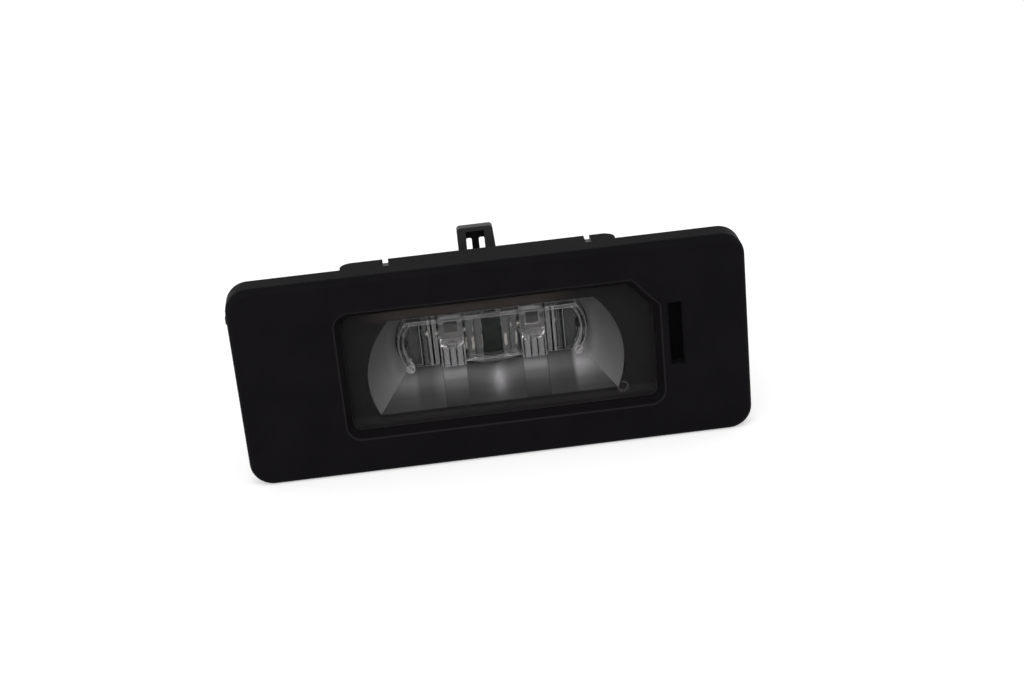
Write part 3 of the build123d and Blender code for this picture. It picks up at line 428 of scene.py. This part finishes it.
class Finish(NodeTree):
    """A material in the making: its main shader, and short ways to shade by place and shape."""

    def __init__(self, name):
        self.material = bpy.data.materials.new(name)
        self.material.use_nodes = True
        super().__init__(self.material.node_tree)
        self.shader = self.tree.nodes["Principled BSDF"]
        self.place = self.node("ShaderNodeTexCoord").outputs["Object"]

    def set(self, **inputs):
        """Set the main shader's inputs."""
        for name, value in inputs.items():
            self.put(value, self.shader.inputs[name.replace("_", " ")])

    def show(self, surface):
        """Make another shader the material's surface."""
        self.put(surface, self.tree.nodes["Material Output"].inputs["Surface"])

    def axes(self):
        """The place's X, Y and Z."""
        return self.node("ShaderNodeSeparateXYZ", Vector=self.place).outputs

    def facing(self):
        """X, Y and Z of the way that the surface faces."""
        normal = self.node("ShaderNodeNewGeometry").outputs["Normal"]
        return self.node("ShaderNodeSeparateXYZ", Vector=normal).outputs

    def outer_side(self):
        """1 on the outer side of the surface, 0 on its inner side."""
        inner = self.node("ShaderNodeNewGeometry").outputs["Backfacing"]
        return self.math("SUBTRACT", 1.0, inner)

    def stretched(self, scale):
        """The place scaled by its own amount along each axis."""
        return self.node("ShaderNodeMapping", Vector=self.place, Scale=scale).outputs["Vector"]

    def noise(self, size, detail=3.0, place=None):
        """Even noise with features about size metres across."""
        vector = place or self.place
        return self.node("ShaderNodeTexNoise", Vector=vector, Scale=1 / size, Detail=detail).outputs["Fac"]

    def web(self, size, place=None):
        """Distance from the lines of an irregular web with meshes about size metres across."""
        made = self.tree.nodes.new("ShaderNodeTexVoronoi")
        made.feature = "DISTANCE_TO_EDGE"
        self.put(place or self.place, made.inputs["Vector"])
        made.inputs["Scale"].default_value = 1 / size
        return made.outputs["Distance"]

    def above(self, value, edge):
        return self.math("GREATER_THAN", value, edge)

    def below(self, value, edge):
        return self.math("LESS_THAN", value, edge)

    def within(self, value, start, end):
        """1 between a start and an end, 0 beyond them."""
        return self.all_of(self.above(value, start), self.below(value, end))

    def rising(self, value, edge, soft):
        """0 well below the edge, 1 well above it."""
        return self.spread(value, 0.0, 1.0, edge - soft, edge + soft)

    def falling(self, value, edge, soft):
        """1 well below the edge, 0 well above it."""
        return self.spread(value, 1.0, 0.0, edge - soft, edge + soft)

    def off(self, value, middle):
        """How far a value is from a middle, either way."""
        return self.math("ABSOLUTE", self.math("SUBTRACT", value, middle))

    def reach(self, across, upward, centre):
        """Distance from a centre in a flat plane."""
        squares = [
            self.math("POWER", self.math("SUBTRACT", value, middle), 2.0)
            for value, middle in zip((across, upward), centre)
        ]
        return self.math("SQRT", self.math("ADD", *squares))

    def mix(self, share, first, second):
        """Colour between two colours."""
        made = self.tree.nodes.new("ShaderNodeMix")
        made.data_type = "RGBA"
        self.put(share, made.inputs["Factor"])
        self.put(first, made.inputs[6])
        self.put(second, made.inputs[7])
        return made.outputs[2]

    def blend(self, share, first, second):
        """Shader between two shaders."""
        made = self.node("ShaderNodeMixShader", Fac=share)
        self.put(first, made.inputs[1])
        self.put(second, made.inputs[2])
        return made.outputs[0]

    def ramp(self, along, stops, stepped=False):
        """Greys at places from 0 to 1, passing smoothly from one to the next or held up to it."""
        made = self.node("ShaderNodeValToRGB", Fac=along)
        if stepped:
            made.color_ramp.interpolation = "CONSTANT"
        elements = made.color_ramp.elements
        for index, (place, grey) in enumerate(stops):
            element = elements[index] if index < 2 else elements.new(1.0)
            element.position = place
            element.color = (grey, grey, grey, 1.0)
        return made.outputs["Color"]

    def rounded(self, radius):
        """Normal that rounds off the moulded edges."""
        made = self.node("ShaderNodeBevel", Radius=radius)
        made.samples = 6
        return made.outputs["Normal"]

    def edges(self, radius, lean):
        """1 along the edges and 0 on flat ground, from how far the rounded normal leans."""
        made = self.tree.nodes.new("ShaderNodeVectorMath")
        made.operation = "DOT_PRODUCT"
        self.put(self.rounded(radius), made.inputs[0])
        self.put(self.node("ShaderNodeNewGeometry").outputs["Normal"], made.inputs[1])
        leaning = self.spread(made.outputs["Value"], 0.0, 1.0, FLAT_LEAN, 1.0 - lean)
        return self.all_of(leaning, self.outer_side())

    def open_ground(self, reach):
        """1 where the surface is open, towards 0 deep in corners and grooves."""
        made = self.node("ShaderNodeAmbientOcclusion", Distance=reach)
        made.samples = 8
        return made.outputs["AO"]

    def outside_plate(self, box, grow, corner):
        """Distance outside a plate's rounded outline, seen from the front, grown by so much."""
        low, high = box
        over = []
        for axis, start, end in (("X", low.x, high.x), ("Z", low.z, high.z)):
            aside = self.off(self.axes()[axis], (start + end) / 2)
            over.append(self.math("SUBTRACT", aside, (end - start) / 2 - corner))
        squares = [self.math("POWER", self.math("MAXIMUM", value, 0.0), 2.0) for value in over]
        beyond = self.math("SQRT", self.math("ADD", *squares))
        inside = self.math("MINIMUM", self.math("MAXIMUM", *over), 0.0)
        return self.math("SUBTRACT", self.math("ADD", beyond, inside), corner + grow)

    def outside_recess(self):
        """Distance outside the edge of the lens recess on the bezel's face."""
        out, reach = corner_cut()
        x, _, z = self.axes()
        outward = self.math("ADD", self.math("MULTIPLY", x, out.x), self.math("MULTIPLY", z, out.y))
        plate = self.outside_plate(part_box("lens"), RECESS_BEVEL, LENS_CORNER)
        return self.math("MAXIMUM", plate, self.math("SUBTRACT", outward, reach))

    def bump(self, height, depth, normal=None):
        """Normal of a relief that is depth metres deep."""
        made = self.node("ShaderNodeBump", Height=height, Distance=depth)
        if normal:
            self.put(normal, made.inputs["Normal"])
        return made.outputs["Normal"]


def corner_cut():
    """Which way the cut corner of the recess faces, across and up, and how far out its edge lies."""
    start, end = Vector(CUT_START), Vector(CUT_END)
    out = Vector((start.y - end.y, end.x - start.x)).normalized()
    return out, out.dot(start)


def moulded_black(name, blacks, rough, grain_depth, shine):
    """Moulded plastic with a fine eroded grain and softly rounded edges, and its black, not yet applied."""
    finish = Finish(name)
    cloud = finish.noise(CLOUD_SIZE)
    grain = finish.noise(GRAIN_SIZE)
    finish.set(
        Roughness=finish.spread(grain, rough - GRAIN_SPREAD, rough + GRAIN_SPREAD, *NOISE_RANGE),
        Specular_IOR_Level=shine,
        Normal=finish.bump(grain, grain_depth, finish.rounded(MOULDED_EDGE)),
    )
    return finish, finish.mix(finish.spread(cloud, 0.0, 1.0, *CLOUD_RANGE), *blacks)


def bezel_plastic():
    """Bezel's plastic, with a painted highlight line round the lens recess, painted light behind its face and on
    the mask's lower strip, and the pale ground of the lip's two slits.
    """
    finish, black = moulded_black("bezel_plastic", FACE_BLACKS, rough=0.5, grain_depth=0.012 * MM, shine=0.017)
    x, y, z = finish.axes()
    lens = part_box("lens")
    # Behind the face the black is painted paler: painted light where the bezel lies in shade
    in_tray = finish.all_of(
        finish.above(y, FACE_BACK - FACE_BACK_SLACK),
        finish.below(finish.math("ABSOLUTE", z), TRAY_HALF),
    )
    ground = finish.mix(in_tray, black, TRAY_LIT_BLACK)
    under_lens = finish.all_of(
        finish.above(y, lens[0].y + SEAT_WALL),
        finish.falling(finish.outside_plate(lens, SEAT_WALL, LENS_CORNER), 0.0, SEAT_SOFT),
    )
    in_band = finish.all_of(
        finish.rising(z, BAND_BOTTOM, BAND_BOTTOM_SOFT),
        finish.falling(finish.off(x, BAND_MIDDLE), BAND_HALF, BAND_END_SOFT),
    )
    # Mask painted paler towards its bottom: painted light where it lies in shade
    mask_lit_low = finish.mix(finish.falling(z, MASK_LOW, MASK_LOW_SOFT), MASK_GREY, MASK_LOW_LIT_GREY)
    mask = finish.mix(in_band, mask_lit_low, BAND_BROWN)
    inside = finish.mix(under_lens, RECESS_BLACK, mask)
    outside = finish.outside_recess()
    in_recess = finish.falling(outside, -HIGHLIGHT_LINE, HIGHLIGHT_SOFT)
    # Lighter line along the recess's edge: a painted highlight where its rounded edge would catch the light
    on_highlight = finish.all_of(
        finish.falling(finish.math("ABSOLUTE", outside), HIGHLIGHT_LINE, HIGHLIGHT_SOFT),
        finish.below(y, cad_box[0].y + HIGHLIGHT_LINE),
    )
    highlighted = finish.mix(on_highlight, finish.mix(in_recess, ground, inside), HIGHLIGHT_BLACK)
    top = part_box("bezel")[1].z
    in_slit = finish.all_of(
        finish.within(z, top - SLIT_DEPTH, top - SLIT_SKIN),
        finish.above(y, SLIT_FRONT),
        finish.any_of(*(finish.below(finish.off(x, place), SLIT_HALF) for place in SLIT_PLACES)),
    )
    finish.set(Base_Color=finish.mix(in_slit, highlighted, SLIT_GREY))
    return finish.material


def housing_plastic():
    """Rear housing's plastic, a little smoother than the bezel's, with painted shade in corners and in the tab's
    pocket.
    """
    finish, black = moulded_black("housing_plastic", HOUSING_BLACKS, rough=0.44, grain_depth=0.006 * MM, shine=0.2)
    # Inner corners darkened by ambient occlusion: painted shade
    in_open = finish.rising(finish.open_ground(CORNER_REACH), CORNER_OPEN, CORNER_SOFT)
    shaded = finish.mix(in_open, CORNER_SHADE_BLACK, black)
    x, y, z = finish.axes()
    # Pocket in the tab painted near black: painted shade
    in_pocket = finish.all_of(
        finish.below(finish.off(x, TAB_MIDDLE), POCKET_HALF),
        finish.within(y, *POCKET_DEPTHS),
        finish.within(z, *POCKET_HEIGHTS),
    )
    finish.set(Base_Color=finish.mix(in_pocket, shaded, POCKET_SHADE_BLACK))
    return finish.material


def clear_lens():
    """Polished clear lens: straight view through, with a faint gloss, a painted highlight on its edges and a pale
    sunk mark.
    """
    finish = Finish("lens_clear")
    through = finish.node("ShaderNodeBsdfTransparent", Color=LENS_TINT)
    gloss = finish.node(
        "ShaderNodeBsdfGlossy",
        Color=WHITE,
        Roughness=finish.spread(finish.noise(LENS_SMEAR), 0.03, 0.1, *NOISE_RANGE),
        Normal=finish.rounded(LENS_ROUND),
    )
    facing = finish.facing()["Y"]
    polished = finish.all_of(finish.below(facing, LENS_FRONT_LEAN), finish.outer_side())
    fresnel = finish.node("ShaderNodeFresnel", IOR=1.45).outputs["Fac"]
    grazing = finish.spread(fresnel, 0.0, LENS_GLOSS_MOST, LENS_GLOSS_START, 1.0)
    glossy = finish.blend(finish.all_of(grazing, polished), through.outputs[0], gloss.outputs[0])
    depth = finish.math("SUBTRACT", finish.axes()["Y"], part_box("lens")[0].y)
    on_mark = finish.all_of(
        finish.below(facing, LENS_MARK_LEAN),
        finish.within(depth, *LENS_MARK_DEPTHS),
        polished,
    )
    # Pale edges are a painted highlight; the sunk mark is pale as well
    pale = finish.any_of(finish.edges(LENS_EDGE, LENS_EDGE_LEAN), on_mark)
    finish.set(Base_Color=LENS_HIGHLIGHT_AND_MARK_GREY, Roughness=0.4)
    finish.show(finish.blend(finish.spread(pale, 0.0, LENS_EDGE_SHARE), glossy, finish.shader.outputs[0]))
    return finish.material


def clear_guide():
    """Clear moulded light guide: polished panels, frosted collectors, columns and top bar, edges, end walls and
    pegs frosted bright as painted highlights, and painted shade in hollows and on top.
    """
    finish = Finish("guide_clear")
    low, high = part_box("light_guide")
    x, _, z = finish.axes()
    aside = finish.off(x, (low.x + high.x) / 2)
    off_collector = finish.math("SUBTRACT", aside, COLLECTOR_MIDDLE)
    in_collector = finish.within(aside, COLLECTOR_NEAR, COLLECTOR_FAR)
    in_columns = finish.all_of(in_collector, finish.below(z, COLUMN_TOP))
    above_dome = finish.all_of(in_collector, finish.above(z, DOME_TOP))
    in_dome = finish.math("SUBTRACT", in_collector, finish.math("ADD", in_columns, above_dome))
    from_start = finish.math("SUBTRACT", off_collector, COLUMN_START)
    to_gap = finish.math("PINGPONG", from_start, COLUMN_PITCH / 2)
    in_gap = finish.all_of(in_columns, finish.falling(to_gap, COLUMN_GAP, COLUMN_GAP_SOFT))
    in_well = finish.all_of(
        finish.below(finish.math("ABSOLUTE", off_collector), WELL_HALF),
        finish.within(z, *WELL_HEIGHTS),
    )
    in_foot = finish.all_of(finish.below(z, GUIDE_FOOT), finish.below(aside, COLLECTOR_NEAR))
    peg_highlight = finish.falling(finish.reach(aside, z, PEG_PLACE), PEG_RADIUS, PEG_SOFT)
    from_turn = finish.reach(aside, z, END_WALL_CENTRE)
    lines = [
        finish.falling(finish.off(from_turn, line), END_WALL_HALF, END_WALL_SOFT) for line in END_WALL_LINES
    ]
    end_wall_highlight = finish.all_of(finish.any_of(*lines), finish.above(aside, END_WALL_START))
    edge_highlight = finish.all_of(
        finish.edges(GUIDE_EDGE, GUIDE_EDGE_LEAN),
        finish.rising(finish.open_ground(GUIDE_EDGE_REACH), GUIDE_EDGE_OPEN, GUIDE_EDGE_SOFT),
    )
    # Frost on the edges, the end walls' lines and the pegs makes them pale: painted highlights
    frosted = (
        (edge_highlight, 0.4),
        (in_columns, 0.177),
        (above_dome, 0.01),
        (in_dome, 0.075),
        (finish.above(z, GUIDE_BAR), 0.14),
        (in_foot, 0.12),
        (peg_highlight, 0.14),
        (end_wall_highlight, 0.2),
    )
    stops = [(start / GUIDE_ZONES_END, share) for start, share in GUIDE_ZONES]
    clear = finish.ramp(finish.spread(aside, 0.0, 1.0, 0.0, GUIDE_ZONES_END * MM), stops, stepped=True)
    for share, amount in frosted:
        clear = finish.all_of(clear, finish.spread(share, 1.0, 1.0 - amount))
    # Frosted grey darkened deep in hollows, in the wells, in the gaps between columns and on upward faces: painted
    # shade
    pale = finish.mix(finish.open_ground(GUIDE_REACH), GUIDE_SHADE_GREY, GUIDE_OPEN_GREY)
    shaded = finish.mix(in_gap, finish.mix(in_well, pale, WELL_SHADE_GREY), GAP_SHADE_GREY)
    finish.set(
        Base_Color=finish.mix(finish.above(finish.facing()["Z"], GUIDE_TOP_LEAN), shaded, UPPER_SHADE_GREY),
        Roughness=finish.spread(above_dome, 0.06, 0.38),
        IOR=1.47,
        Transmission_Weight=clear,
        Specular_IOR_Level=0.1,
        Specular_Tint=(0.06, 0.06, 0.06),
    )
    return finish.material


def satin_silver():
    """Metallised reflector: satin silver, finer in the facets of its lower slope than beside them, its grey set by
    place with painted light and shade.
    """
    finish = Finish("reflector_silver")
    guide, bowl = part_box("light_guide"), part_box("reflector")
    middle = (guide[0].x + guide[1].x) / 2
    x, y, _ = finish.axes()
    aside = finish.off(x, middle)
    along = finish.spread(y, 0.0, 1.0, bowl[0].y, bowl[1].y)
    in_trough = finish.below(aside, COLLECTOR_NEAR)
    in_facets = finish.below(aside, COLLECTOR_FAR)
    # Silver graded along the slope from the front edge to the guide: painted light and shade
    facets = finish.mix(in_trough, finish.ramp(along, FACET_PAINTED_LIGHT), finish.ramp(along, TROUGH_PAINTED_LIGHT))
    on_right = finish.above(x, middle)
    at_end = finish.all_of(
        finish.rising(aside, END_START, END_SOFT),
        finish.spread(on_right, *END_AMOUNTS),
        finish.spread(aside, 1.0, END_FADE, END_FULL, END_FAR),
    )
    near = finish.all_of(
        finish.spread(aside, 1.0, 0.0, COLLECTOR_FAR, NEAR_FAR),
        finish.spread(on_right, *NEAR_AMOUNTS),
    )
    # Paler near the guide's ends and collectors: painted light standing for light through the guide
    lit = finish.any_of(at_end, near)
    wing = finish.mix(lit, finish.ramp(along, WING_PAINTED_LIGHT), finish.ramp(along, END_PAINTED_LIGHT))
    slope = finish.mix(in_facets, wing, facets)
    on_slope = finish.spread(finish.facing()["Z"], 0.0, 1.0, *SLOPE_LEAN)
    even = finish.mix(on_slope, finish.ramp(along, WALL_PAINTED_LIGHT), slope)
    cloud = finish.spread(finish.noise(SILVER_CLOUD), 0.0, 1.0, *NOISE_RANGE)
    silver = finish.mix(cloud, finish.mix(SILVER_CLOUD_SHARE, even, (0.0, 0.0, 0.0)), even)
    satin = finish.math(
        "ADD",
        finish.spread(in_facets, WING_SATIN, FACET_SATIN),
        finish.spread(in_trough, 0.0, TROUGH_SATIN - FACET_SATIN),
    )
    finish.set(
        Base_Color=finish.mix(finish.edges(SILVER_EDGE, SILVER_EDGE_LEAN), silver, SILVER_EDGE_GREY),
        Metallic=finish.spread(finish.all_of(in_facets, on_slope), DULL_METAL, FULL_METAL),
        Roughness=finish.math("ADD", satin, finish.spread(cloud, -SATIN_SPREAD, SATIN_SPREAD)),
        Coat_Weight=in_trough,
        Coat_Roughness=0.2,
    )
    return finish.material


def green_board():
    """Solder-masked board with faint tracks under the mask."""
    finish = Finish("board_green")
    flat = finish.stretched((1.0, 0.0, 1.0))
    beside_track = finish.rising(finish.web(TRACK_SIZE, flat), TRACK_EDGE, TRACK_SOFT)
    finish.set(
        Base_Color=finish.mix(beside_track, TRACK_GREEN, MASK_GREEN),
        Roughness=0.32,
        Specular_IOR_Level=0.2,
        Normal=finish.bump(finish.spread(beside_track, 1.0, 0.0), TRACK_HEIGHT),
    )
    return finish.material


def led_package():
    """Pale LED body with a yellowish window, both painted dark as shade from the guide in front."""
    finish = Finish("led_white")
    left, right = (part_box(name) for name in LEDS)
    middle = (left[0] + left[1] + right[0] + right[1]) / 4
    aside = (right[0].x + right[1].x) / 2 - middle.x
    x, _, z = finish.axes()
    radius = finish.reach(finish.off(x, middle.x), z, (aside, middle.z))
    grain = finish.noise(PACKAGE_GRAIN, detail=2.0)
    finish.set(
        Base_Color=finish.mix(finish.rising(radius, WINDOW_RADIUS, WINDOW_SOFT), WINDOW_SHADE_YELLOW, PACKAGE_SHADE_GREY),
        Roughness=finish.spread(grain, 0.3, 0.45, *NOISE_RANGE),
        Normal=finish.bump(grain, PACKAGE_GRAIN_DEPTH),
    )
    return finish.material


def capped_chip(name, body, cap, axis):
    """Chip with a moulded or ceramic body and tinned ends of that length along an axis."""
    finish = Finish(name)
    start, end = (getattr(corner, axis.lower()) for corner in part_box(name))
    aside = finish.off(finish.axes()[axis], (start + end) / 2)
    tinned = finish.rising(aside, (end - start) / 2 - cap, CAP_SOFT)
    grain = finish.noise(CHIP_GRAIN)
    finish.set(
        Base_Color=finish.mix(tinned, body, CAP_TIN),
        Metallic=tinned,
        Roughness=finish.spread(grain, 0.3, 0.5, *NOISE_RANGE),
        Normal=finish.bump(grain, CHIP_GRAIN_DEPTH),
    )
    return finish.material


def tinned_brass():
    """Stamped and tinned terminal, with fine marks along its length."""
    finish = Finish("terminal_tin")
    marks = finish.noise(DRAWN_MARK, place=finish.stretched(DRAWN_STRETCH))
    finish.set(
        Base_Color=finish.mix(finish.noise(TIN_CLOUD), *TIN_COLOURS),
        Metallic=1.0,
        Roughness=finish.spread(marks, 0.2, 0.38, *NOISE_RANGE),
        Normal=finish.bump(marks, DRAWN_DEPTH, finish.rounded(TIN_EDGE)),
    )
    return finish.material


def porous_film():
    """White porous film with a fine web."""
    finish = Finish("membrane_white")
    pores = finish.spread(finish.web(FILM_WEB), 0.0, 1.0, 0.0, FILM_WEB_WIDTH)
    finish.set(
        Base_Color=finish.mix(pores, *FILM_COLOURS),
        Roughness=0.85,
        Normal=finish.bump(finish.spread(pores, 1.0, 0.0), FILM_DEPTH),
    )
    return finish.material


def add_piece(name, mesh):
    """Piece of the lamp with its place in its mesh."""
    piece = bpy.data.objects.new(name, mesh)
    bpy.context.scene.collection.objects.link(piece)
    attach(piece, "root")


def add_corner(material):
    """Cut corner of the lens recess, bevelled as the recess's sides are."""
    out, reach = corner_cut()
    low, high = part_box("lens")
    corners = []
    for depth, grow in ((cad_box[0].y + CUT_SINK, RECESS_BEVEL), (low.y - CUT_SINK, 0.0)):
        right, top = high.x + grow + CUT_LAP, high.z + grow + CUT_LAP
        edge = reach - RECESS_BEVEL + grow
        corners.append(((edge - out.y * top) / out.x, depth, top))
        corners.append((right, depth, (edge - out.x * right) / out.y))
        corners.append((right, depth, top))
    mesh = bpy.data.meshes.new("recess_corner")
    mesh.from_pydata(corners, [], [(0, 1, 2), (5, 4, 3), (1, 0, 3, 4), (2, 1, 4, 5), (0, 2, 5, 3)])
    mesh.materials.append(material)
    add_piece("recess_corner", mesh)


def add_flash(material):
    """Thin uneven bead that the weld squeezes out all round the seam."""
    low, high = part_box("rear_housing")
    growth = Growth(
        "weld_flash",
        Width=high.x - low.x,
        Height=COLLAR_HEIGHT,
        Corner=COLLAR_CORNER,
        Bead=FLASH_RADIUS,
    )
    given = growth.given
    sides = growth.node("GeometryNodeCurvePrimitiveQuadrilateral", Width=given["Width"], Height=given["Height"])
    rounded = growth.node(
        "GeometryNodeFilletCurve",
        "POLY",
        Curve=sides.outputs[0],
        Radius=given["Corner"],
        Count=COLLAR_CORNER_STEPS,
    )
    even = growth.node("GeometryNodeResampleCurve", "LENGTH", Curve=rounded.outputs[0], Length=FLASH_STEP)
    width = growth.chance(*FLASH_RANGE, FLASH_SEED)
    uneven = growth.node("GeometryNodeSetCurveRadius", Curve=even.outputs[0], Radius=width)
    bead = growth.turned_up(growth.tube(uneven.outputs[0], given["Bead"]))
    middle = Vector(((low.x + high.x) / 2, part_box("bezel")[1].y, low.z + COLLAR_HEIGHT / 2))
    growth.grow(growth.at_places(bead), [middle], material, "housing_plastic")


def add_marks(material):
    """Thin rings where the ejector pins pushed the bezel out of its mould."""
    growth = Growth("ejector_marks", Radius=MARK_RADIUS, Line=MARK_LINE)
    given = growth.given
    circle = growth.node("GeometryNodeCurvePrimitiveCircle", Resolution=MARK_SIDES, Radius=given["Radius"])
    ring = growth.turned_up(growth.tube(circle.outputs[0], given["Line"]))
    places = [(x, FACE_BACK, z) for x in MARK_ACROSS for z in MARK_UP]
    growth.grow(growth.at_places(ring), places, material, "bezel_plastic")


def joint_places():
    """Where solder holds the ends of the chips and the tails of the terminals to the board."""
    front, back = (corner.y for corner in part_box("circuit_board"))
    places = []
    for name in RESISTORS + CAPACITORS:
        low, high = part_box(name)
        places += [((low.x + high.x) / 2, back, z) for z in (low.z, high.z)]
    for names, face in ((DIODES, back), (LEDS, front)):
        for low, high in map(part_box, names):
            places += [(x, face, (low.z + high.z) / 2) for x in (low.x, high.x)]
    low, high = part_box("led_driver")
    for pin in DRIVER_PINS:
        places += [((low.x + high.x) / 2 + pin * DRIVER_PIN_PITCH, back, z) for z in (low.z, high.z)]
    for low, high in map(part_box, TERMINALS):
        middle = (low + high) / 2
        places += [(middle.x, front, middle.z + side * TAIL_JOINT_PITCH / 2) for side in (-1, 1)]
    return places


def add_joints(material):
    """Small solder domes, each a little different."""
    growth = Growth("solder_joints", Size=JOINT_SIZE)
    ball = growth.node("GeometryNodeMeshIcoSphere", Radius=1.0, Subdivisions=3)
    dome = growth.node("GeometryNodeTransform", Geometry=ball.outputs[0], Scale=growth.given["Size"])
    placed = growth.at_places(dome.outputs[0], Scale=growth.chance(*JOINT_RANGE, JOINT_SEED))
    growth.grow(placed, joint_places(), material, "terminal_tin")


def dress(names, material):
    """Give a material to pieces of the lamp."""
    for name in names:
        data = nodes[name].data
        data.materials.clear()
        data.materials.append(material)


def dress_pieces():
    """Finish of every piece, and the small pieces that share a finish."""
    face_black, back_black, tin = bezel_plastic(), housing_plastic(), tinned_brass()
    dress(["bezel"], face_black)
    dress(["rear_housing"], back_black)
    dress(TERMINALS, tin)
    add_corner(face_black)
    add_flash(back_black)
    add_marks(face_black)
    add_joints(tin)
    dress(["lens"], clear_lens())
    dress(["light_guide"], clear_guide())
    dress(["reflector"], satin_silver())
    dress(["circuit_board"], green_board())
    dress(LEDS, led_package())
    dress(["vent_membrane"], porous_film())
    for names, body, cap, axis in CHIPS:
        for name in names:
            dress([name], capped_chip(name, body, cap, axis))


def lay_floor():
    """White floor under the lamp's lowest edge, lifted to white for the camera, mirrors and clear pieces."""
    level = cad_box[0].z
    corners = [(x * FLOOR_HALF, y * FLOOR_HALF, level) for x, y in ((-1, -1), (1, -1), (1, 1), (-1, 1))]
    mesh = bpy.data.meshes.new("floor")
    mesh.from_pydata(corners, [], [(0, 1, 2, 3)])
    floor = bpy.data.objects.new("floor", mesh)
    bpy.context.scene.collection.objects.link(floor)
    finish = Finish("floor_white")
    finish.set(Base_Color=FLOOR_GREY, Roughness=0.9, Specular_IOR_Level=0.0)
    strength = finish.math("MULTIPLY", finish.seen(), FLOOR_LIFT)
    glow = finish.node("ShaderNodeEmission", Strength=strength)
    both = finish.tree.nodes.new("ShaderNodeAddShader")
    finish.put(finish.shader.outputs[0], both.inputs[0])
    finish.put(glow.outputs[0], both.inputs[1])
    finish.show(both.outputs[0])
    mesh.materials.append(finish.material)


def light_world():
    """Even grey light all round, seen as white."""
    world = bpy.data.worlds.new("studio")
    bpy.context.scene.world = world
    world.use_nodes = True
    sky = NodeTree(world.node_tree)
    background = sky.tree.nodes["Background"]
    sky.put(WHITE, background.inputs["Color"])
    sky.put(sky.spread(sky.seen(), WORLD_GREY, 1.0), background.inputs["Strength"])


def add_softbox(name, place, width, height, power):
    """Flat soft light aimed at the lamp."""
    lamp = bpy.data.lights.new(name, "AREA")
    lamp.shape = "RECTANGLE"
    lamp.size = width
    lamp.size_y = height
    lamp.energy = power
    box = bpy.data.objects.new(name, lamp)
    bpy.context.scene.collection.objects.link(box)
    box.location = place
    box.rotation_euler = (-Vector(place)).to_track_quat("-Z", "Y").to_euler()


def add_camera():
    """Camera where the lamp is seen from, rolled a little about its line of sight."""
    data = bpy.data.cameras.new("camera")
    data.lens = CAMERA_LENS
    data.clip_start = CAMERA_NEAR
    camera = bpy.data.objects.new("camera", data)
    bpy.context.scene.collection.objects.link(camera)
    level = (CAMERA_LOOKS_AT - CAMERA_AT).to_track_quat("-Z", "Y").to_matrix().to_4x4()
    camera.matrix_world = Matrix.Translation(CAMERA_AT) @ level @ Matrix.Rotation(CAMERA_ROLL, 4, "Z")
    bpy.context.scene.camera = camera


dress_pieces()
lay_floor()
light_world()
for softbox in SOFTBOXES:
    add_softbox(*softbox)
add_camera()
bpy.context.scene.view_settings.view_transform = "Standard"
